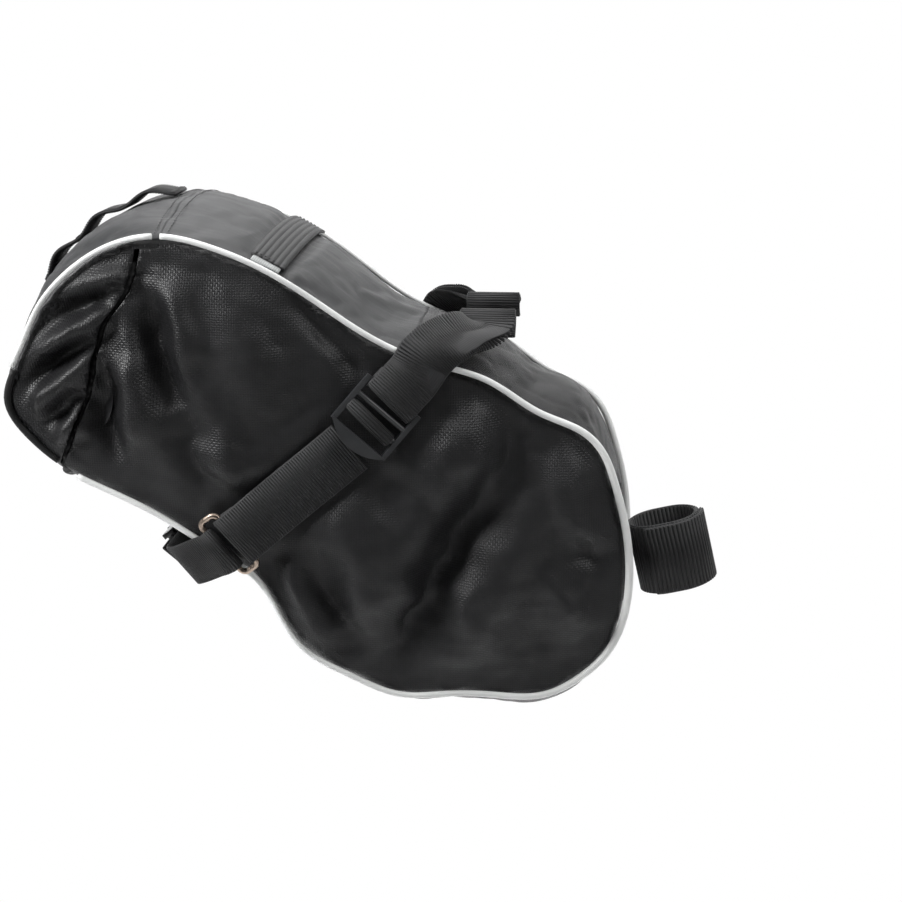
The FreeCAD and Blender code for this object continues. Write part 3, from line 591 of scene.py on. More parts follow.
def moulded(name, base, roughness, coat=0.0):
    """Moulded plastic with slight unevenness and wear."""
    surface = Surface(name, base, roughness, specular_ior_level=0.5, coat_weight=coat, coat_roughness=0.12)
    cloud = surface.mottle(70.0, 5.0)
    surface.rough(cloud.step(0.3, 0.7) * 0.12 + (roughness - 0.05))
    surface.shade(cloud * 0.4 + 0.8)
    return surface.relief(surface.mottle(900.0, 2.0), 0.00004, 0.6).material


def wire(name, base):
    """Plated wire, a little tarnished."""
    surface = Surface(name, base, 0.28, metallic=1.0)
    cloud = surface.mottle(220.0, 4.0)
    surface.rough(cloud.step(0.35, 0.7) * 0.25 + 0.2)
    surface.shade(cloud * 0.6 + 0.65)
    return surface.relief(cloud, 0.00005, 0.5).material


def thread_surface(name, base):
    """Sewing thread."""
    surface = Surface(name, base, 0.55, sheen_weight=0.1)
    surface.shade(surface.mottle(900.0) * 0.5 + 0.8)
    return surface.material


def make_materials():
    """Every material, by slot name."""
    c = colours()
    return {
        "side_fabric": woven("side_fabric", c.nylon, 0.00120, 0.46, 0.00014, 0.7),
        "gusset_fabric": woven("gusset_fabric", c.nylon, 0.00120, 0.48, 0.00014, 0.7),
        "lining": woven("lining", c.lining, 0.0006, 0.6, 0.00006, 0.3),
        "backing_fabric": woven("backing_fabric", c.nylon, 0.0009, 0.7, 0.0001, 0.4),
        "coated_fabric": coated("coated_fabric", c.coated),
        "webbing": webbing_surface("webbing", c.webbing),
        "hook_loop_strap": webbing_surface("hook_loop_strap", c.webbing),
        "binding_tape": webbing_surface("binding_tape", c.elastic),
        "ribbed_elastic": elastic_surface("ribbed_elastic", c.elastic, 333.0),
        "hem_elastic": elastic_surface("hem_elastic", c.elastic, 500.0),
        "tab_tape": webbing_surface("tab_tape", c.tab),
        "reflective_piping": piping_surface("reflective_piping", c.piping),
        "lock_plastic": moulded("lock_plastic", c.lock, 0.34),
        "buckle_plastic": moulded("buckle_plastic", c.buckle, 0.18, 0.3),
        "stiffener_board": moulded("stiffener_board", c.lock, 0.6),
        "ring_wire": wire("ring_wire", c.ring),
        "thread": thread_surface("thread", c.elastic),
        "pale_thread": thread_surface("pale_thread", c.tab),
    }


_kept = {}


def material(name):
    """One of the materials, made the first time that one is asked for."""
    if not _kept:
        _kept.update(make_materials())
    return _kept[name]


# ---------------------------------------------------------------- repeated pieces by geometry nodes


def repeated_tree(name, kind):
    """Node tree that sets a thread or a rib every so often along a path that carries its directions."""
    tree = bpy.data.node_groups.new(name, "GeometryNodeTree")
    face = tree.interface
    face.new_socket("Path", in_out="INPUT", socket_type="NodeSocketGeometry")
    for label in ("Spacing", "Long", "Wide", "High"):
        face.new_socket(label, in_out="INPUT", socket_type="NodeSocketFloat")
    face.new_socket("Material", in_out="INPUT", socket_type="NodeSocketMaterial")
    face.new_socket("Pieces", in_out="OUTPUT", socket_type="NodeSocketGeometry")

    def node(type_name, inputs=(), **settings):
        made = tree.nodes.new(type_name)
        for key, value in settings.items():
            setattr(made, key, value)
        for key, value in dict(inputs).items():
            if isinstance(value, bpy.types.NodeSocket):
                tree.links.new(value, made.inputs[key])
            else:
                made.inputs[key].default_value = value
        return made

    given = tree.nodes.new("NodeGroupInput").outputs
    curve = node("GeometryNodeMeshToCurve", {0: given["Path"]})
    spaced = node("GeometryNodeResampleCurve", {"Curve": curve.outputs[0], "Length": given["Spacing"]},
                  mode="LENGTH")
    ahead = node("GeometryNodeInputNamedAttribute", {"Name": "ahead"}, data_type="FLOAT_VECTOR")
    away = node("GeometryNodeInputNamedAttribute", {"Name": "away"}, data_type="FLOAT_VECTOR")
    turn = node("FunctionNodeAxesToRotation", {0: away.outputs[0], 1: ahead.outputs[0]},
                primary_axis="Z", secondary_axis="X")
    size = node("ShaderNodeCombineXYZ", {0: given["Long"], 1: given["Wide"], 2: given["High"]})
    if kind == "rib":
        shape = node("GeometryNodeMeshCylinder", {"Vertices": 8, "Radius": 0.5, "Depth": 1.0},
                     fill_type="NGON")
        lying = node("GeometryNodeTransform", {"Geometry": shape.outputs[0], "Rotation": (math.pi / 2, 0, 0)})
    else:
        shape = node("GeometryNodeMeshUVSphere", {"Segments": 8, "Rings": 5, "Radius": 0.5})
        lying = node("GeometryNodeTransform", {"Geometry": shape.outputs[0]})
    put = node("GeometryNodeInstanceOnPoints", {"Points": spaced.outputs[0], "Instance": lying.outputs[0],
                                                "Rotation": turn.outputs[0], "Scale": size.outputs[0]})
    real = node("GeometryNodeRealizeInstances", {0: put.outputs[0]})
    painted = node("GeometryNodeSetMaterial", {"Geometry": real.outputs[0], "Material": given["Material"]})
    smooth = node("GeometryNodeSetShadeSmooth", {"Geometry": painted.outputs[0]})
    result = tree.nodes.new("NodeGroupOutput")
    tree.links.new(smooth.outputs[0], result.inputs[0])
    return tree


def repeated(name, kind, run, spacing, size, surface):
    """Mesh object of threads or ribs along a run of (path, ahead or across, away)."""
    label = "Repeated " + kind
    tree = bpy.data.node_groups.get(label) or repeated_tree(label, kind)
    path, ahead, away = (np.asarray(v, float) for v in run)
    mesh = bpy.data.meshes.new(name)
    mesh.from_pydata([tuple(p) for p in path], [(i, i + 1) for i in range(len(path) - 1)], [])
    for label, values in (("ahead", ahead), ("away", away)):
        layer = mesh.attributes.new(label, "FLOAT_VECTOR", "POINT")
        layer.data.foreach_set("vector", np.ascontiguousarray(values, np.float32).ravel())
    obj = bpy.data.objects.new(name, mesh)
    bpy.context.scene.collection.objects.link(obj)
    modifier = obj.modifiers.new("Repeated", "NODES")
    modifier.node_group = tree
    given = {"Spacing": spacing, "Long": size[0], "Wide": size[1], "High": size[2], "Material": surface}
    for item in tree.interface.items_tree:
        if item.name in given and item.in_out == "INPUT":
            modifier[item.identifier] = given[item.name]
    return applied(obj)


def joined(name, *objects):
    """One object from several, keeping the first one's maps."""
    meshes = bmesh.new()
    for obj in objects:
        meshes.from_mesh(obj.data)
    for face in meshes.faces:
        face.material_index = 0
        face.smooth = True
    mesh = bpy.data.meshes.new(name)
    meshes.to_mesh(mesh)
    meshes.free()
    erase(*objects)
    obj = bpy.data.objects.new(name, mesh)
    bpy.context.scene.collection.objects.link(obj)
    return obj


def webbing(name, run, width, slot, body, replaced=(), thickness=None, ends=0.0, pitch=None):
    """Ribbed webbing along a run whose path is its underside."""
    s = sizes()
    thickness = thickness or s.webbing
    pitch = pitch or s.rib_pitch
    core = ribbon(name + "_core", run, width, thickness * 0.84, ends=ends)
    path, across, out = resampled(run, 0.0008)
    ahead = unit(np.gradient(path, axis=0))
    whole = np.linalg.norm(np.diff(path, axis=0), axis=1).cumsum()
    keep = slice(int(np.searchsorted(whole, ends * 1.05)) if ends else 1, -1)
    ribs = []
    for height in (0.84, 0.0):
        line = (path + out * (thickness * height))[keep]
        size = (pitch * 0.86, width * 0.965, thickness * 0.42)
        run = (line, ahead[keep], out[keep])
        ribs.append(repeated(name + "_rib", "rib", run, pitch, size, material(slot)))
    obj = joined(name, core, *ribs)
    return finish_piece(obj, material(slot), slot, body, *replaced)


def stitches(name, path, away, surface, body, spacing=None, lift=0.0001):
    """Row of thread stitches lying along a path."""
    s = sizes()
    spacing = spacing or s.stitch_pitch
    path, away = np.asarray(path, float), np.asarray(away, float)
    ahead = unit(np.gradient(path, axis=0))
    obj = repeated(name, "stitch", (path + away * lift, ahead, away), spacing,
                   (spacing * 0.72, s.thread * 2.2, s.thread * 2), material(surface))
    return finish_piece(obj, material(surface), "binding_tape", body)


# ---------------------------------------------------------------- bag and lid cloth

# Ridges (raised) and creases (pressed in) of the right side, in metres: ends x, z, x, z, height, width
RIGHT_FOLDS = (
    (-0.251, 0.146, -0.243, 0.092, -0.0058, 0.0060), (-0.240, 0.152, -0.233, 0.116, 0.0036, 0.0070),
    (-0.263, 0.116, -0.257, 0.076, 0.0040, 0.0085), (-0.275, 0.112, -0.272, 0.066, -0.0045, 0.0060),
    (-0.228, 0.076, -0.205, 0.056, 0.0022, 0.0090), (-0.238, 0.100, -0.226, 0.052, -0.0022, 0.0070),
    (-0.213, 0.150, -0.196, 0.092, 0.0024, 0.0150), (-0.183, 0.152, -0.143, 0.098, -0.0028, 0.0055),
    (-0.170, 0.150, -0.140, 0.112, 0.0014, 0.0060), (-0.112, 0.078, -0.080, 0.050, 0.0034, 0.0150),
    (-0.072, 0.080, -0.134, -0.036, -0.0062, 0.0120), (-0.053, 0.064, -0.048, 0.016, 0.0032, 0.0085),
    (-0.066, 0.004, -0.042, -0.028, 0.0032, 0.0075), (-0.060, 0.026, -0.030, 0.006, -0.0026, 0.0070),
    (-0.163, 0.034, -0.128, -0.010, 0.0040, 0.0120), (-0.176, 0.020, -0.156, -0.034, -0.0034, 0.0070),
    (-0.199, 0.020, -0.182, -0.024, -0.0032, 0.0045), (-0.191, 0.012, -0.171, -0.036, 0.0028, 0.0055),
    (-0.100, 0.020, -0.094, -0.040, 0.0026, 0.0110), (-0.150, 0.062, -0.118, 0.040, -0.0020, 0.0080),
)
LEFT_FOLDS = (
    (-0.244, 0.150, -0.250, 0.096, -0.0048, 0.0065), (-0.262, 0.130, -0.254, 0.082, 0.0036, 0.0080),
    (-0.232, 0.134, -0.214, 0.084, 0.0026, 0.0120), (-0.274, 0.106, -0.268, 0.062, -0.0040, 0.0060),
    (-0.196, 0.146, -0.160, 0.112, -0.0026, 0.0060), (-0.222, 0.074, -0.200, 0.050, -0.0024, 0.0070),
    (-0.108, 0.070, -0.070, 0.058, 0.0030, 0.0130), (-0.064, 0.070, -0.112, -0.030, -0.0052, 0.0115),
    (-0.046, 0.050, -0.052, -0.010, 0.0028, 0.0090), (-0.160, 0.026, -0.132, -0.018, 0.0036, 0.0110),
    (-0.184, 0.016, -0.166, -0.034, -0.0032, 0.0065), (-0.142, 0.058, -0.110, 0.018, -0.0022, 0.0080),
    (-0.088, 0.010, -0.074, -0.040, 0.0030, 0.0100),
)
FOLD_DEPTH = 2.6
SETTLED = 0.0030        # furthest that the settled cloth leaves the plain form
RISE, DIP = 0.0090, 0.0100      # furthest that the folded cloth stands out and sinks in
# The lid's skirts are bunched by the hem: creases and ridges run from the bunch to the tail
SKIRT_FOLDS = (
    (-0.266, 0.156, -0.300, 0.147, 0.0030, 0.0050), (-0.268, 0.148, -0.312, 0.128, -0.0044, 0.0045),
    (-0.272, 0.138, -0.318, 0.112, 0.0034, 0.0050), (-0.276, 0.128, -0.318, 0.098, -0.0046, 0.0045),
    (-0.280, 0.118, -0.312, 0.088, 0.0036, 0.0055), (-0.283, 0.106, -0.305, 0.078, -0.0042, 0.0045),
    (-0.286, 0.092, -0.300, 0.070, 0.0030, 0.0050), (-0.262, 0.164, -0.284, 0.163, -0.0030, 0.0045),
)


def smooth_line(points, step):
    """Finely spaced points on a smooth curve through a few."""
    points = np.asarray(points, float)
    flat = np.stack([points[:, 0], np.zeros(len(points)), points[:, 1]], 1)
    side = np.tile([0.0, 1.0, 0.0], (len(points), 1))
    away = np.tile([1.0, 0.0, 0.2], (len(points), 1))
    return resampled((flat, side, away), step)[0][:, [0, 2]]


def to_segment(xz, a, b):
    """Distance from a segment, and the share along it, of each point."""
    a, b = np.asarray(a, float), np.asarray(b, float)
    share = ((xz - a) @ (b - a)) / ((b - a) @ (b - a))
    held = np.clip(share, 0, 1)
    return np.linalg.norm(xz - a - held[:, None] * (b - a), axis=1), share


def fold_height(xz, folds):
    """Height of ridges and creases over the centre plane; they fade and wander along their length."""
    total = np.zeros(len(xz))
    for k, (x0, z0, x1, z1, height, width) in enumerate(folds):
        sway = 0.0022 * np.sin(xz[:, 0] * 140 + xz[:, 1] * 190 + k * 1.7)
        wandered = xz + np.stack([sway, sway * 0.6], 1)
        d, share = to_segment(wandered, (x0, z0), (x1, z1))
        fade = np.clip(1.15 - np.abs(2 * share - 1), 0, 1) ** 0.7
        if height < 0:
            total += height * fade * (np.exp(-d / width) * 0.75 + np.exp(-((d / width) ** 2)) * 0.25)
            total -= height * 0.35 * fade * np.exp(-(((d - 2.1 * width) / width) ** 2))
        else:
            total += height * fade * np.exp(-((d / width) ** 2))
    return total


class BagShape:
    """Seam outline, side panel and strap lines that every piece is laid out on."""

    def __init__(self):
        s = sizes()
        self.seam = Seam()
        self.panel = Panel(self.seam)
        self.lid_s = self.seam.place(LID_SEAM)
        self.top_s = self.seam.place(TOP_SEAM)
        self.hem_s = self.seam.length
        self.base_end = self.seam.length - 0.0078
        self.crossing, self.lock_top = at(CROSSING), at(LOCK_TOP)
        self.lock_foot, self.ring_at = at(LOCK_FOOT), at(RING_AT)
        self.hem = np.array([at(p) for p in HEM_LINE])
        self.upper = unit(self.lock_top - self.crossing)
        self.lower = unit(self.ring_at - self.lock_foot)
        self.corner_s = self.seam.nearest((self.ring_at + self.lower * 0.014)[None])[0][0]
        self.half = s.rear_half

    def under_strap(self, xz):
        """1 under the side strap and its fittings, 0 well clear of them."""
        stops = [self.crossing, self.lock_top, self.lock_foot, self.ring_at, self.ring_at + self.lower * 0.02]
        runs = zip(stops, stops[1:])
        gap = np.min([to_segment(xz, a, b)[0] for a, b in runs], axis=0)
        reach, fade = 0.024, 0.0075
        return np.clip((reach - gap) / fade, 0, 1)

    def under_trim(self, s, t):
        """1 under the trim sewn to the gusset, 0 clear of it."""
        cover = np.zeros(len(s))
        for share, reach, half in (((0.421, 0.937), 0.012, 1.0), ((0.993, 0.285), 0.032, 0.5),
                                   ((0.392, 0.300), 0.016, 0.22), ((0.115, 0.925), 0.045, 0.22)):
            gap = np.abs(s - self.seam.place(share)) - reach
            edge = np.abs(t) - half
            cover = np.maximum(cover, np.clip(1 - gap / 0.006, 0, 1) * np.clip(1 - edge / 0.1, 0, 1))
        return cover


_shape = []


def shape():
    """The bag's shape, worked out once."""
    if not _shape:
        _shape.append(BagShape())
    return _shape[0]


def closed_form():
    """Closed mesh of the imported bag, gusset and both side panels, evenly divided."""
    b, s = shape(), sizes()
    around, across, rings = 220, 21, 16
    lengths = np.linspace(0, b.seam.length, around, endpoint=False)
    points = np.stack([gusset(b.seam, lengths, np.full(around, t)) for t in np.linspace(-1, 1, across)], 1)
    points = [points.reshape(-1, 3)]
    faces = grid_faces(around, across, closed_rows=True)
    rim = b.seam.look(lengths)[0]
    first = around * across
    for side, column in ((-1, 0), (1, across - 1)):
        before = [i * across + column for i in range(around)]
        for k in range(1, rings + 1):
            share = 1 - k / rings
            xz = b.panel.middle + (rim - b.panel.middle) * share
            if k == rings:
                xz = xz[:1]
            points.append(np.stack([xz[:, 0], side * b.panel.half(xz), xz[:, 1]], 1))
            here = [first + i for i in range(len(xz))]
            for i in range(around):
                j = (i + 1) % around
                inner = (here[j], here[i]) if k < rings else (here[0],)
                faces.append((before[i], before[j], *inner))
            first += len(xz)
            before = here
    obj = new_object("form", np.vstack(points), faces)
    work = bmesh.new()
    work.from_mesh(obj.data)
    bmesh.ops.recalc_face_normals(work, faces=work.faces)
    work.to_mesh(obj.data)
    work.free()
    return modified(obj, "REMESH", mode="VOXEL", voxel_size=s.cell, use_smooth_shade=True)


def settle(obj, pinned, looser):
    """Lets the cloth find its own wrinkles between its pinned seams, slightly too large for them."""
    s = sizes()
    group = obj.vertex_groups.new(name="pinned")
    group.add([int(i) for i in np.flatnonzero(pinned)], 1.0, "REPLACE")
    cloth = obj.modifiers.new("Settle", "CLOTH")
    cloth.settings.quality = 5
    cloth.settings.mass = 0.25
    cloth.settings.tension_stiffness = cloth.settings.compression_stiffness = 12
    cloth.settings.shear_stiffness = 6
    cloth.settings.bending_stiffness = 0.15
    cloth.settings.shrink_min = -looser
    cloth.settings.vertex_group_mass = "pinned"
    cloth.settings.use_pressure = True
    cloth.settings.uniform_pressure_force = 0.6
    cloth.settings.effector_weights.gravity = 0
    cloth.collision_settings.use_collision = False
    cloth.point_cache.frame_end = s.frames
    scene = bpy.context.scene
    for number in range(1, s.frames + 1):
        scene.frame_set(number)
    applied(obj)
    obj.vertex_groups.clear()
    return obj


def line_distance(xz, line):
    """Distance from an open line, and the length along it, for each point."""
    best, along = np.full(len(xz), 9.0), np.zeros(len(xz))
    start = 0.0
    for a, b in zip(line, line[1:]):
        d, share = to_segment(xz, a, b)
        size = np.linalg.norm(b - a)
        nearer = d < best
        best[nearer] = d[nearer]
        along[nearer] = (start + np.clip(share, 0, 1) * size)[nearer]
        start += size
    return best, along


def packed_form():
    """The whole bag's cloth as one closed mesh: folds, settled wrinkles and puckers at the seams."""
    b, s = shape(), sizes()
    form = closed_form()
    rest, away = coordinates(form), normals(form)
    xz, y = rest[:, [0, 2]], rest[:, 1]
    length, gap = b.seam.nearest(xz)
    t = np.clip(y / half_width(rest[:, 0]), -1, 1)
    side = np.clip((np.abs(away[:, 1]) - 0.35) / 0.4, 0, 1) * (np.abs(t) > 0.9)
    rim = np.hypot(gap, np.minimum(np.abs(np.abs(y) - half_width(rest[:, 0])), 1.0))
    free = np.clip((rim - 0.002) / 0.012, 0, 1)
    skirt = np.clip((np.interp(xz[:, 1], b.hem[::-1, 1], b.hem[::-1, 0]) + 0.004 - xz[:, 0]) / 0.006, 0, 1)
    folds = np.where(y < 0, fold_height(xz, RIGHT_FOLDS), fold_height(xz, LEFT_FOLDS)) * (1 - skirt)
    folds += fold_height(xz + np.where(y > 0, 0.003, 0)[:, None], SKIRT_FOLDS) * skirt
    edge, along = line_distance(xz, smooth_line(b.hem, 0.003))
    bunch = np.sin(along / 0.0013 + 2.2 * np.sin(along / 0.009)) * np.exp(-edge / 0.011)
    folds += bunch * np.where(skirt > 0.5, 0.0017, 0.0010) + np.exp(-edge / 0.010) * (0.0030 * skirt - 0.0016)
    folds *= side * free * FOLD_DEPTH
    height = noise(rest, 0.045, 3) * 0.0012 * free + noise(rest * (1, 1, 1.6), 0.018, 5) * 0.0007 * free
    pucker = noise(np.stack([length, y * 0.2, gap * 0.3], 1), 0.008, 9) * np.exp(-rim / 0.016)
    height += pucker * 0.0013 * free * (0.4 + 0.6 * side)
    set_coordinates(form, rest + away * height[:, None])
    settle(form, rim < 0.0035, s.slack)
    moved = coordinates(form) - rest
    outward = (moved * away).sum(1)
    sideways = moved - away * outward[:, None]
    outward = np.tanh((outward - np.median(outward) * 0.7) / SETTLED) * SETTLED + folds
    cover = np.maximum(b.under_strap(xz) * side, b.under_trim(length, t) * (1 - side))
    cover = np.maximum(cover, np.clip(1 - (rim - 0.001) / 0.004, 0, 1))
    highest = RISE * (1 - cover) - 0.0005 * cover
    outward = np.clip(outward, -DIP * (1 - cover) - 0.0012 * cover, highest)
    set_coordinates(form, rest + sideways * (0.6 * (1 - cover))[:, None] + away * outward[:, None])
    modified(form, "SUBSURF", levels=1, render_levels=1)
    fine, away = coordinates(form), normals(form)
    crinkle = noise(fine, 0.0065, 21) * 0.00022
    crinkle += (1 - np.abs(noise(fine * (1, 1, 1.4), 0.013, 23))) ** 3 * -0.0006
    set_coordinates(form, fine + away * (crinkle + 0.0001)[:, None])
    return form


def prism(name, outline, half, surface):
    """Solid between two planes of Y inside a closed outline of (x, z) points."""
    n = len(outline)
    points = [(x, -half, z) for x, z in outline] + [(x, half, z) for x, z in outline]
    faces = [tuple(range(n)), tuple(reversed(range(n, 2 * n)))]
    faces += [((i + 1) % n, i, n + i, n + (i + 1) % n) for i in range(n)]
    obj = new_object(name, points, faces, smooth=False)
    work = bmesh.new()
    work.from_mesh(obj.data)
    bmesh.ops.recalc_face_normals(work, faces=work.faces)
    work.to_mesh(obj.data)
    work.free()
    obj.data.materials.append(surface)
    return obj


def cut_open(form, name, forward, operation, surface):
    """The part of the form ahead of or behind the lid's edge, open along the cut."""
    b = shape()
    seam_point, _, out = (v[0] for v in b.seam.look([b.lid_s]))
    line = smooth_line(b.hem + (forward, 0), 0.004)
    low = line[-1] + unit(line[-1] - line[-4]) * 0.06
    outline = [seam_point + out * 0.06, seam_point + out * 0.02, seam_point - out * 0.005, *line, low,
               (-0.5, -0.2), (-0.5, 0.4)]
    scrap = bpy.data.materials.new("scrap")
    cutter = prism("cutter", outline, 0.2, scrap)
    part = bpy.data.objects.new(name, form.data.copy())
    bpy.context.scene.collection.objects.link(part)
    part.data.materials.clear()
    part.data.materials.append(surface)
    modified(part, "BOOLEAN", object=cutter, operation=operation, solver="EXACT", material_mode="TRANSFER")
    scraps = {i for i, m in enumerate(part.data.materials) if m and m.name.startswith("scrap")}
    work = bmesh.new()
    work.from_mesh(part.data)
    bmesh.ops.delete(work, geom=[f for f in work.faces if f.material_index in scraps], context="FACES")
    work.to_mesh(part.data)
    work.free()
    erase(cutter)
    bpy.data.materials.remove(scrap)
    return part


def divide(shell, keep, name):
    """Moves the faces chosen by keep, a test on arrays of face centres, into a new object."""
    count = len(shell.data.polygons)
    centres = np.empty(count * 3)
    shell.data.polygons.foreach_get("center", centres)
    chosen = keep(centres.reshape(-1, 3))
    part = bpy.data.objects.new(name, shell.data.copy())
    bpy.context.scene.collection.objects.link(part)
    for obj, wanted in ((part, chosen), (shell, ~chosen)):
        work = bmesh.new()
        work.from_mesh(obj.data)
        work.faces.ensure_lookup_table()
        bmesh.ops.delete(work, geom=[f for f in work.faces if not wanted[f.index]], context="FACES")
        work.to_mesh(obj.data)
        work.free()
    return part


def on_side(points):
    """Whether each point belongs to a side panel rather than to the gusset."""
    b = shape()
    xz = points[:, [0, 2]]
    length, gap = b.seam.nearest(xz)
    p, _, out = b.seam.look(length)
    inside = gap * np.where(((xz - p) * out).sum(1) < 0, 1, -1)
    wide = np.abs(points[:, 1]) > half_width(points[:, 0]) - 0.0018
    return (inside > 0.0062) | (wide & (inside > -0.001))


def cloth_map(obj):
    """Lays the cloth flat in metres: side panels seen from the side, the gusset unrolled along its seam."""
    points = coordinates(obj)
    length, _ = shape().seam.nearest(points[:, [0, 2]])
    flat = np.where(on_side(points)[:, None], points[:, [0, 2]], np.stack([length, points[:, 1]], 1))
    set_map(obj, flat)


def hollow(obj):
    """Gives open cloth its thickness, inwards, and smooth shading."""
    modified(obj, "SOLIDIFY", thickness=sizes().cloth, offset=-1.0)
    obj.data.shade_smooth()
    return obj


def stretch(first, last):
    """Test for faces of the gusset between two lengths along the seam."""
    def inside(centres):
        length, _ = shape().seam.nearest(centres[:, [0, 2]])
        return ~on_side(centres) & (length > first) & (length < last)
    return inside


class BagCloth(bpy.types.Operator):
    """Bag: both side panels, the gusset and the coated top, packed and creased; and the hooded lid"""

    bl_idname = "saddle_bag.cloth"
    bl_label = "Bag and lid cloth"

    def execute(self, context):
        b = shape()
        form = packed_form()
        bag = cut_open(form, "bag_shell", 0.0024, "DIFFERENCE", material("side_fabric"))
        top = divide(bag, stretch(b.lid_s - 0.02, b.top_s), "coated_top")
        lid = cut_open(form, "lid_skirts", -0.0001, "INTERSECT", material("side_fabric"))
        hood = divide(lid, stretch(0.012, b.lid_s + 0.02), "lid_hood")
        erase(form)
        for obj in (bag, top, lid, hood):
            cloth_map(obj)
            hollow(obj)
        finish_piece(bag, material("side_fabric"), "side_fabric", "bag", "side_panel_left",
                     "side_panel_right", "front_gusset", "bottom_gusset")
        finish_piece(top, material("coated_fabric"), "coated_fabric", "bag", "top_panel")
        finish_piece(lid, material("side_fabric"), "side_fabric", "lid", "lid_skirt_left", "lid_skirt_right")
        finish_piece(hood, material("coated_fabric"), "coated_fabric", "lid", "lid_panel")
        return {"FINISHED"}


# ---------------------------------------------------------------- trim sewn to the cloth


def seam_path(side, start, end, lift=0.0005, step=0.003):
    """Points of one side's seam between two lengths, just proud of the cloth."""
    b = shape()
    lengths = np.arange(start, end, step)
    p, _, out = b.seam.look(lengths)
    raised = p + out * lift
    return np.stack([raised[:, 0], side * (half_width(p[:, 0]) + lift), raised[:, 1]], 1), lengths


class Piping(bpy.types.Operator):
    """Reflective piping round both sides, and the plain cord that takes over round the lid's tail"""

    bl_idname = "saddle_bag.piping"
    bl_label = "Piping"

    def execute(self, context):
        b, s = shape(), sizes()
        front = b.seam.place((0.99, 0.30))
        tail = b.seam.place((0.016, 0.73))
        for name, side in SIDES:
            path, lengths = seam_path(side, b.lid_s + 0.0006, b.base_end)
            thick = s.cord * (1 + 0.45 * np.exp(-(((lengths - front) / 0.09) ** 2)))
            cord = tube("piping_cord_" + name, path, thick)
            finish_piece(cord, material("reflective_piping"), "reflective_piping", "bag", "piping_" + name)
            path, _ = seam_path(side, tail, b.lid_s - 0.0006)
            cord = tube("lid_piping_cord_" + name, path, s.cord)
            finish_piece(cord, material("reflective_piping"), "reflective_piping", "lid",
                         "lid_piping_" + name)
            path, _ = seam_path(side, 0.002, tail, -0.0010)
            cord = tube("lid_tail_cord_" + name, path, s.cord * 1.15)
            finish_piece(cord, material("hem_elastic"), "hem_elastic", "lid")
        return {"FINISHED"}


def hem_path(inset, forward=0.0, drop=0.0):
    """Line round the mouth: down the right side, under the middle and up the left."""
    b = shape()
    line = smooth_line(b.hem[:], 0.003)[2:-1] + (forward, 0)
    right = np.stack([line[:, 0], np.full(len(line), -(b.half - inset)), line[:, 1]], 1)
    t = np.linspace(-0.9, 0.9, 31)
    under = gusset(b.seam, np.full(31, b.seam.length - 0.0028 - forward), t, -0.0012 - drop)
    return np.vstack([right, under, right[::-1] * (1, -1, 1)])


def evenly(path, step):
    """Points a step apart along a smooth curve through a path."""
    path = np.asarray(path, float)
    side = np.tile([0.0, 0.3, 1.0], (len(path), 1))
    return resampled((path, side, np.roll(side, 1, 1)), step)[0]


class Hem(bpy.types.Operator):
    """Gathered elastic hem that draws the lid in round the mouth"""

    bl_idname = "saddle_bag.hem"
    bl_label = "Elastic hem"

    def execute(self, context):
        path = evenly(hem_path(0.0034), 0.0011)
        s = np.arange(len(path)) * 0.0011
        gather = 0.5 + 0.5 * np.sin(s / 0.00075 + 1.5 * np.sin(s / 0.011))
        cord = tube("hem_gathers", path, 0.0019 + 0.0007 * gather, 12)
        finish_piece(cord, material("hem_elastic"), "hem_elastic", "lid", "lid_hem")
        return {"FINISHED"}


def from_frame(name, node, slot, body, bevel=0.0, flat=(0, 2)):
    """Piece with the shape of a CAD node, its edges softened and its cloth mapped by two of its axes."""
    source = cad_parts[node]
    obj = bpy.data.objects.new(name, source.data.copy())
    obj.data.transform(source.matrix_world)
    bpy.context.scene.collection.objects.link(obj)
    work = bmesh.new()
    work.from_mesh(obj.data)
    bmesh.ops.remove_doubles(work, verts=work.verts, dist=0.00001)
    bmesh.ops.dissolve_limit(work, angle_limit=math.radians(2), verts=work.verts, edges=work.edges)
    work.to_mesh(obj.data)
    work.free()
    if bevel:
        modified(obj, "BEVEL", width=bevel, segments=3, limit_method="ANGLE", angle_limit=math.radians(35))
    while obj.data.uv_layers:
        obj.data.uv_layers.remove(obj.data.uv_layers[0])
    set_map(obj, coordinates(obj)[:, list(flat)])
    obj.data.set_sharp_from_angle(angle=math.radians(38))
    obj.data.shade_smooth()
    return finish_piece(obj, material(slot), slot, body, node)


class Lining(bpy.types.Operator):
    """Collar round the mouth with its bound edge, and the stiff sheet in the base"""

    bl_idname = "saddle_bag.lining"
    bl_label = "Collar and base"

    def execute(self, context):
        from_frame("mouth_collar", "collar", "lining", "bag", flat=(0, 2))
        from_frame("mouth_binding", "collar_binding", "binding_tape", "bag", flat=(1, 2))
        from_frame("base_board", "base_stiffener", "stiffener_board", "bag")
        return {"FINISHED"}


def gusset_run(lengths, t, lifts, along_seam):
    """Webbing laid on the gusset, either along the seam or across from side to side."""
    b = shape()
    lengths, t = np.broadcast_arrays(lengths, t)
    path = gusset(b.seam, lengths, t, lifts)
    _, ahead, out = b.seam.look(lengths)
    ahead = np.stack([ahead[:, 0], 0 * t, ahead[:, 1]], 1)
    away = np.stack([out[:, 0], 0 * t, out[:, 1]], 1)
    level = np.tile([0.0, 1.0, 0.0], (len(path), 1))
    if along_seam:
        return path, level, away
    away = unit(np.cross(ahead, np.gradient(path, axis=0)))
    away *= np.sign((away * np.stack([out[:, 0], 0 * t, out[:, 1]], 1)).sum(1, keepdims=True))
    return path, ahead, away


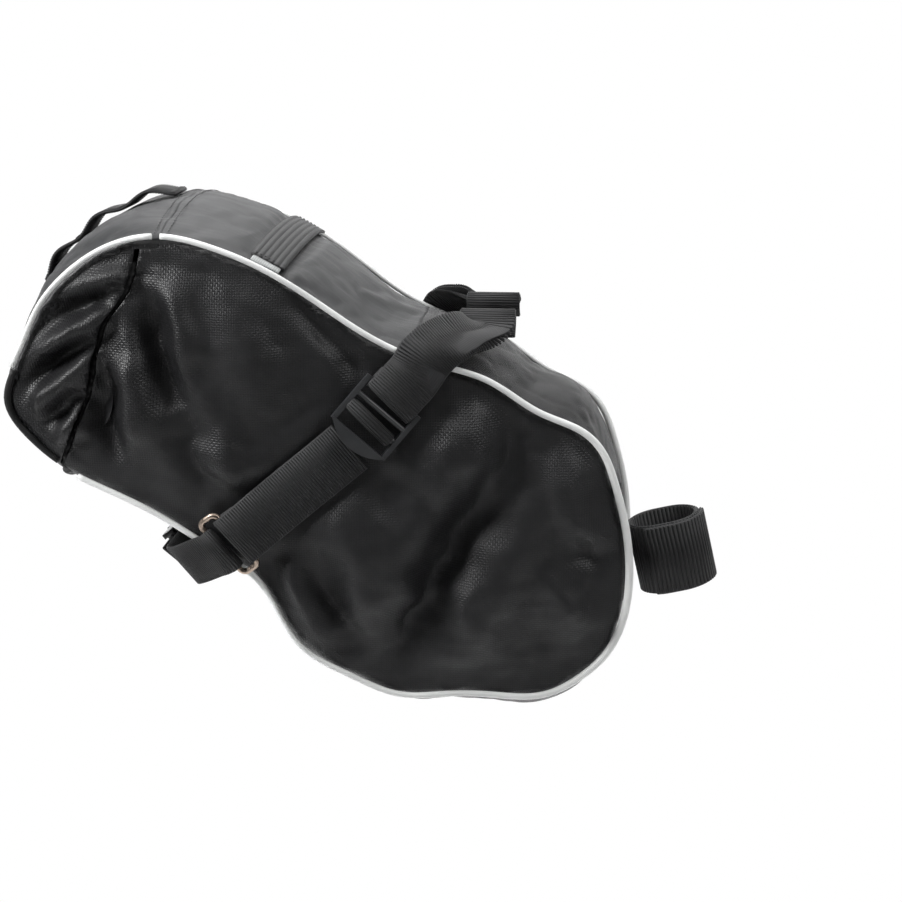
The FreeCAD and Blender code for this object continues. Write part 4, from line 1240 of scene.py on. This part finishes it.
class LidTrim(bpy.types.Operator):
    """Webbing ladder on the lid, with a bar tack where each loop is sewn down"""

    bl_idname = "saddle_bag.lid_trim"
    bl_label = "Webbing ladder"

    def execute(self, context):
        b, s = shape(), sizes()
        start = b.seam.place((0.055, 0.835))
        lengths = np.linspace(start, b.lid_s - 0.005, 49)
        arch = 0.0004 + 0.0034 * np.sin(np.linspace(0, 3 * math.pi, 49)) ** 2
        run = gusset_run(lengths, np.zeros(49), arch, True)
        webbing("lid_ladder", run, s.cross_width, "webbing", "lid", ("daisy_chain",))
        for k, i in enumerate((0, 16, 32, 48)):
            i = min(max(i, 1), 47)
            y = np.linspace(-0.0118, 0.0118, 60)
            zigzag = np.where(np.arange(60) % 2, 0.0009, -0.0009)
            path = run[0][i] + np.outer(y, (0, 1, 0)) + np.outer(zigzag, unit(run[0][i + 1] - run[0][i - 1]))
            path = path + run[2][i] * 0.0017
            stitches("lid_tack_%d" % k, path, np.tile(run[2][i], (60, 1)), "thread", "lid", 0.0009)
        return {"FINISHED"}


class TopTrim(bpy.types.Operator):
    """Ribbed elastic across the top, held by a pale tab at each end"""

    bl_idname = "saddle_bag.top_trim"
    bl_label = "Top elastic"

    def execute(self, context):
        b = shape()
        s_at = b.seam.place((0.421, 0.937))
        t = np.linspace(-0.89, 0.89, 33)
        run = gusset_run(np.full(33, s_at), t, 0.0003, False)
        band = ribbon("elastic_band", run, 0.018, 0.0018)
        finish_piece(band, material("ribbed_elastic"), "ribbed_elastic", "bag", "top_elastic")
        for name, side in SIDES:
            t = np.linspace(0.895, 0.962, 7) * side
            tab = ribbon("end_tab_" + name, gusset_run(np.full(7, s_at), t, 0.0003, False), 0.015, 0.0012)
            finish_piece(tab, material("tab_tape"), "tab_tape", "bag", "elastic_tab_" + name)
            row = gusset_run(s_at + np.linspace(-0.0065, 0.0065, 9), np.full(9, 0.865 * side), 0.0003, True)
            stitches("elastic_tack_" + name, row[0] + row[2] * 0.0019, row[2], "thread", "bag", 0.002)
        return {"FINISHED"}


# ---------------------------------------------------------------- straps and fittings

LOCK_BAR, LOCK_PITCH, RAIL, RUN, RING_WIRE, RING_PITCH = 0.0016, 0.0075, 0.0035, 0.0003, 0.0015, 0.0104
LIE = 0.0008            # air between webbing and the cloth it lies on
UNDER_BAR = LIE + 0.0016 + 0.0006 + 0.0004      # webbing and clearance below a fitting's bar
LOCK_LIFT = UNDER_BAR + LOCK_BAR
RING_LIFT = UNDER_BAR + RING_WIRE
SOCKET_BAR = 0.0255     # the socket's webbing bar, from its mouth
BAR_REACH = 0.0018      # its radius and the clearance of the webbing round it
CROSS_LEVEL = -0.0055   # the right cross strap, between the plug and the bag
POST_RADIUS, POST_STRAP, POST_RIBS = 0.0136, 0.0022, 0.0021


def on_panel(xz, lift):
    """Point and outward direction on the right panel, raised by lift."""
    return shape().panel.point(xz, lift)


def laid(direction, normal):
    """Direction brought into the plane with this normal."""
    direction = np.asarray(direction, float)
    return unit(direction - normal * (direction @ normal))


def deep(v):
    """Direction in the centre plane as a direction in space."""
    return np.array([v[0], 0.0, v[1]])


def turned(v):
    """Width direction of a strap that runs this way over the side panel."""
    return np.array([-v[1], 0.0, v[0]])


def looped(origin, away, normal, across, radius, start, turn, count=11):
    """Run of webbing round a bar, its angles measured from away to normal."""
    angles = np.radians(np.linspace(start, start + turn, count))[:, None]
    spokes = away * np.cos(angles) + normal * np.sin(angles)
    return origin + spokes * radius, np.tile(across, (count, 1)), spokes


def end_to_end(*runs):
    """Runs of webbing joined into one."""
    return [np.vstack([np.atleast_2d(run[i]) for run in runs]) for i in range(3)]


def panel_run(route, along):
    """Webbing over the right panel along a route of (x and z, lift)."""
    found = [on_panel(xz, lift) for xz, lift in route]
    return ([p for p, _ in found], [laid(turned(along), n) for _, n in found], [n for _, n in found])


def mirrored(run, side):
    """A right-hand run, or its mirror image on the left."""
    return [np.asarray(v, float) * (1, -side, 1) for v in run]


def fitting_frame(xz, lift, along):
    """Origin, length, width and outward directions of a fitting that lies on the right panel."""
    origin, normal = on_panel(xz, lift)
    return origin, laid(deep(along), normal), laid(turned(along), normal), normal


def rail_strap_run():
    """Webbing from the rail loop down to the ladder lock's first bar."""
    b, s = shape(), sizes()
    rail = np.array([b.crossing[0] + 0.028, -0.024, b.crossing[1] + 0.015])
    out = unit([0, -0.86, -0.51])
    up = np.array([0, out[2], -out[1]])
    fore = np.array([1.0, 0, 0])
    inner = ([rail + out * 0.0088 - up * RAIL], [fore], [-up])
    loop = looped(rail, -out, up, fore, RAIL, -90, 180, 13)
    leg_end = rail + out * 0.009 + up * RAIL
    top = np.array([b.crossing[0], -half_width(b.crossing[0]) - 0.0035, b.crossing[1] + 0.0029])
    seam_across = unit([0.80, -0.06, -0.60])
    seam_out = laid((0.25, -0.75, 0.6), seam_across)
    halfway = leg_end * 0.5 + top * 0.5 + (0, -0.001, 0.003)
    half_across = unit(fore + seam_across)
    half_out = laid(up + seam_out, half_across)
    over = ([leg_end, halfway, top], [fore, half_across, seam_across], [up, half_out, seam_out])
    span = np.linalg.norm(b.lock_top - b.crossing)
    top_of_bar = LOCK_LIFT + LOCK_BAR + RUN
    route = [(b.crossing + b.upper * span * share, lift)
             for share, lift in ((0.42, 0.0034), (0.65, 0.0046), (0.85, top_of_bar - 0.0005))]
    origin, d, w, n = fitting_frame(b.lock_top, LOCK_LIFT, b.upper)
    turn = looped(origin, d, n, w, LOCK_BAR + RUN, 90, -180)
    under = ([origin - d * k - n * (LOCK_BAR + RUN) for k in (0.004, 0.008)], [w] * 2, [-n] * 2)
    return end_to_end(inner, loop, over, panel_run(route, b.upper), turn, under)


def lower_strap_run():
    """Webbing from under the ladder lock down to the ring."""
    b = shape()
    start = b.lock_foot - b.lower * 0.005
    near = b.ring_at - b.lower * RING_PITCH / 2
    span = np.linalg.norm(near - start)
    top_of_ring = RING_LIFT + RING_WIRE + RUN
    lifts = ((0, LIE), (0.25, LIE), (0.5, LIE), (0.7, 0.002), (0.85, 0.0044), (0.95, top_of_ring - 0.0002))
    route = [(start + b.lower * span * share, lift) for share, lift in lifts]
    origin, d, w, n = fitting_frame(b.ring_at, RING_LIFT, b.lower)
    bar = origin - d * RING_PITCH / 2
    turn = looped(bar, d, n, w, RING_WIRE + RUN, 90, -180)
    under = ([bar - d * k - n * (RING_WIRE + RUN) for k in (0.004, 0.009)], [w] * 2, [-n] * 2)
    return end_to_end(panel_run(route, b.lower), turn, under)


class SideStraps(bpy.types.Operator):
    """Straps from the saddle rails down each side: rail loop, ladder lock, lower strap and wire ring"""

    bl_idname = "saddle_bag.side_straps"
    bl_label = "Side straps"

    def execute(self, context):
        b, s = shape(), sizes()
        origin, d, w, n = fitting_frame(b.lock_top, LOCK_LIFT, b.upper)
        middle = looped(origin + d * 2 * LOCK_PITCH, d, n, w, LOCK_BAR + RUN, 215, -250, 15)
        for name, side in SIDES:
            for piece, run, body, node in (("rail_webbing_", rail_strap_run(), "bag", "rail_strap_"),
                                           ("lower_webbing_", lower_strap_run(), "bag", "side_strap_"),
                                           ("lock_wrap_", middle, "lock_" + name, "lock_webbing_")):
                webbing(piece + name, mirrored(run, -side), s.web_width, "webbing", body, (node + name,))
            from_frame("lock_" + name, "ladder_lock_" + name, "lock_plastic", "lock_" + name, 0.0006)
            from_frame("ring_" + name, "wire_ring_" + name, "ring_wire", "bag")
        return {"FINISHED"}


def buckle_frame():
    """Origin, length, width and outward directions of the buckle: its socket's mouth, middle and face."""
    b = shape()
    turn = math.radians(52)
    s_at = b.seam.place((0.300, 0.375))
    origin = gusset(b.seam, np.array([s_at]), np.array([0.0]), 0.011)[0] + (0, -0.013, 0)
    return (origin, np.array([0.0, 1, 0]), np.array([math.cos(turn), 0, -math.sin(turn)]),
            np.array([-math.sin(turn), 0, -math.cos(turn)]))


def cross_start():
    """Webbing round the right ring's lower bar and out over the seam."""
    b = shape()
    origin, d, w, n = fitting_frame(b.ring_at, RING_LIFT, b.lower)
    bar = origin + d * RING_PITCH / 2
    leg = ([bar + d * 0.001 - n * (RING_WIRE + RUN)], [w], [-n])
    turn = looped(bar, -d, n, w, RING_WIRE + RUN, -90, 180)
    p, _, out = (v[0] for v in b.seam.look([b.corner_s]))
    turn_out = unit(np.array([0, -1, 0]) + deep(out))
    over = np.array([p[0], -half_width(p[0]), p[1]]) + turn_out * 0.0057
    return end_to_end(leg, turn, ([over], [w], [laid(turn_out, w)])), w


class BuckleStraps(bpy.types.Operator):
    """Side-release buckle under the bag and the webbing that ties it to the two rings"""

    bl_idname = "saddle_bag.buckle"
    bl_label = "Buckle and cross straps"

    def execute(self, context):
        s = sizes()
        origin, u, w, n = buckle_frame()
        start, ring_w = cross_start()
        bend_w = unit(ring_w + w)
        lead = ([origin + u * -0.038 + n * CROSS_LEVEL], [bend_w], [laid(n, bend_w)])
        flat = [origin + u * k + n * CROSS_LEVEL for k in (-0.030, -0.021, -0.008)]
        run = end_to_end(start, lead, (flat, [w] * 3, [n] * 3))
        webbing("cross_webbing_right", run, s.cross_width, "webbing", "bag", ("cross_strap_right",))
        bar = origin + u * SOCKET_BAR
        way = [origin + u * 0.043 + n * 0.003, origin + u * 0.033 + n * 0.0023]
        middle = (way, [bend_w, w], [laid(n, bend_w), n])
        last = ([origin + u * 0.031 - n * BAR_REACH], [w], [-n])
        turn = looped(bar, -u, -n, w, BAR_REACH, -90, 180)
        run = end_to_end(mirrored(start, 1), middle, turn, last)
        webbing("cross_webbing_left", run, s.cross_width, "webbing", "bag", ("cross_strap_left",))
        k = np.linspace(-0.035, -0.0036, 9)[:, None]
        run = (origin + u * k - n * 0.0008, np.tile(w, (9, 1)), np.tile(n, (9, 1)))
        webbing("strap_end", run, s.cross_width, "webbing", "plug", ("strap_tail",), ends=0.012)
        from_frame("socket", "buckle_socket", "buckle_plastic", "bag", 0.0008)
        from_frame("plug_frame", "buckle_plug", "buckle_plastic", "plug", 0.0005)
        for name in ("upper", "lower"):
            from_frame("prong_" + name, "buckle_prong_" + name, "buckle_plastic", "prong_" + name, 0.0006)
        b = shape()
        first, last = b.seam.place((0.430, 0.215)), b.seam.place((0.352, 0.335))
        lengths = np.linspace(first, last, 15)
        run = gusset_run(lengths, np.zeros(15), 0.0004, True)
        webbing("anchor_strip", run, s.cross_width, "webbing", "bag", ("anchor_webbing",))
        return {"FINISHED"}


def post_loop(radius, first, last, count=72):
    """Run of strap round the seat post, from angle first to last about the post, in degrees from the rear."""
    tilt = math.radians(13.3)
    axis = np.array([-math.sin(tilt), 0, math.cos(tilt)])
    fore = np.array([math.cos(tilt), 0, math.sin(tilt)])
    left = np.array([0.0, 1, 0])
    slack = 0.007
    path, out = [], []
    for a in np.radians(np.linspace(first, last, count)):
        spoke = -fore * math.cos(a) - left * math.sin(a)
        path.append(spoke * radius + fore * slack * np.clip(0.5 - 4 * math.cos(a), 0, 1))
        out.append(spoke)
    return path, np.tile(axis, (count, 1)), out


class PostStrap(bpy.types.Operator):
    """Hook-and-loop strap that closes round the seat post, its free flap, and the patch that it is sewn to"""

    bl_idname = "saddle_bag.post_strap"
    bl_label = "Seat-post strap"

    def execute(self, context):
        webbing("post_webbing", post_loop(POST_RADIUS, 3, 363, 96), 0.038, "hook_loop_strap", "bag",
                ("post_strap",), thickness=POST_STRAP, pitch=POST_RIBS)
        webbing("flap_webbing", post_loop(POST_RADIUS + POST_STRAP + RUN, 66, 190, 48), 0.037,
                "hook_loop_strap", "post_flap", ("post_flap",), thickness=POST_STRAP, pitch=POST_RIBS)
        from_frame("strap_patch", "post_patch", "backing_fabric", "bag", flat=(1, 2))
        return {"FINISHED"}


class Seams(bpy.types.Operator):
    """Lines of thread along the lid seam, one on the lid and one on the top panel"""

    bl_idname = "saddle_bag.seams"
    bl_label = "Seam stitching"

    def execute(self, context):
        b = shape()
        for name, shift, body in (("lid_seam", -0.003, "lid"), ("top_seam", 0.003, "bag")):
            t = np.linspace(-0.95, 0.95, 60)
            run = gusset_run(np.full(60, b.lid_s + shift), t, 0.0004, False)
            stitches(name + "_thread", run[0], run[2], "thread", body)
        return {"FINISHED"}


# Soft lights: name, place, aim, size in metres and power in watts
LIGHTS = (
    ("key", (-1.00, -0.42, 0.62), (-0.16, 0, 0.03), 0.35, 13.0),
    ("rim", (-0.35, 0.60, 0.95), (-0.16, 0, 0.05), 0.7, 2.4),
    ("front", (0.75, -0.40, 0.75), (-0.10, 0, 0.0), 0.35, 4.0),
    ("wall", (0.0, 0.25, 1.6), (0.0, 1.0, 0.1), 1.6, 22.0),
    ("floor", (0.0, 0.1, 2.2), (0.0, 0.3, -0.16), 2.0, 12.0),
)
AMBIENT = 0.10


def plain_white(tree, kind):
    """Shows as plain white, while the light it sends to the pieces stays that of its own shader."""
    output = next(n for n in tree.nodes if n.type in ("OUTPUT_MATERIAL", "OUTPUT_WORLD"))
    own = output.inputs["Surface"].links[0].from_socket
    white, choice = tree.nodes.new(kind), tree.nodes.new("ShaderNodeMixShader")
    white.inputs["Color"].default_value = (1, 1, 1, 1)
    white.inputs["Strength"].default_value = 1.0
    seen = tree.nodes.new("ShaderNodeLightPath")
    tree.links.new(seen.outputs["Is Camera Ray"], choice.inputs[0])
    tree.links.new(own, choice.inputs[1])
    tree.links.new(white.outputs[0], choice.inputs[2])
    tree.links.new(choice.outputs[0], output.inputs["Surface"])


def backdrop():
    """Wide floor that curves up into a wall behind the bag."""
    radius, floor_z, wall_y, wall_top, front_y, reach = 0.5, -0.60, 1.0, 3.0, -9.0, 9.0
    line = [(front_y, floor_z), (wall_y - radius, floor_z)]
    for a in np.linspace(0, math.pi / 2, 17)[1:]:
        line.append((wall_y - radius + radius * math.sin(a), floor_z + radius * (1 - math.cos(a))))
    line.append((wall_y, wall_top))
    points = [(x, y, z) for y, z in line for x in (-reach, reach)]
    sweep = new_object("backdrop", points, grid_faces(len(line), 2))
    paint = Surface("backdrop", colours().backdrop, 0.9)
    plain_white(paint.tree, "ShaderNodeEmission")
    sweep.data.materials.append(paint.material)
    sweep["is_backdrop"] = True


class Studio(bpy.types.Operator):
    """Pale floor and backdrop, soft lights and the camera"""

    bl_idname = "saddle_bag.studio"
    bl_label = "Studio"

    def execute(self, context):
        backdrop()
        world = bpy.data.worlds.new("studio")
        context.scene.world = world
        world.use_nodes = True
        ambient = world.node_tree.nodes["Background"]
        ambient.inputs["Color"].default_value = (1, 1, 1, 1)
        ambient.inputs["Strength"].default_value = AMBIENT
        plain_white(world.node_tree, "ShaderNodeBackground")
        for name, spot, goal, size, power in LIGHTS:
            data = bpy.data.lights.new(name, "AREA")
            data.size, data.energy = size, power
            lamp = bpy.data.objects.new(name, data)
            lamp.location = spot
            lamp.rotation_euler = (Vector(goal) - Vector(spot)).to_track_quat("-Z", "Y").to_euler()
            context.scene.collection.objects.link(lamp)
            lamp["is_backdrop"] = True
        data = bpy.data.cameras.new("camera")
        data.lens, data.sensor_width = 70.6, 36.0
        camera = bpy.data.objects.new("camera", data)
        camera.location = (-0.0396, -0.8982, 0.2933)
        camera.rotation_euler = (math.radians(75), 0, math.radians(4.65))
        context.scene.collection.objects.link(camera)
        context.scene.camera = camera
        context.scene.view_settings.view_transform = "Standard"
        return {"FINISHED"}


# ---------------------------------------------------------------- add-on


class SaddleBagPanel(bpy.types.Panel):
    """Buttons in building order, with the sizes and colours above them"""

    bl_label = "Saddle bag"
    bl_idname = "VIEW3D_PT_saddle_bag"
    bl_space_type = "VIEW_3D"
    bl_region_type = "UI"
    bl_category = "Saddle bag"

    def draw(self, context):
        for settings in (context.scene.saddle_bag_sizes, context.scene.saddle_bag_colours):
            box = self.layout.box()
            for name in settings.__annotations__:
                box.prop(settings, name)
        for operator in PIECES:
            self.layout.operator(operator.bl_idname)


PIECES = (BagCloth, Piping, Hem, Lining, LidTrim, TopTrim, SideStraps, BuckleStraps, PostStrap, Seams, Studio)
CLASSES = (SaddleBagSizes, SaddleBagColours, *PIECES, SaddleBagPanel)


def register():
    """Adds the classes and the two groups of settings."""
    for item in CLASSES:
        bpy.utils.register_class(item)
    bpy.types.Scene.saddle_bag_sizes = PointerProperty(type=SaddleBagSizes)
    bpy.types.Scene.saddle_bag_colours = PointerProperty(type=SaddleBagColours)


def unregister():
    """Removes them again."""
    del bpy.types.Scene.saddle_bag_colours
    del bpy.types.Scene.saddle_bag_sizes
    for item in reversed(CLASSES):
        bpy.utils.unregister_class(item)


def plain(bounds):
    """The bounds as plain lists."""
    if isinstance(bounds, dict):
        return {k: plain(v) for k, v in bounds.items()}
    if hasattr(bounds, "__len__"):
        return [plain(v) for v in bounds]
    return float(bounds)


def main():
    """Builds every piece in order and measures the size before and after."""
    before = plain(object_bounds())
    register()
    for operator in PIECES:
        getattr(bpy.ops.saddle_bag, operator.bl_idname.split(".")[1])()
    {"frame": before, "finished": plain(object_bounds())}


if __name__ == "__main__":
    main()
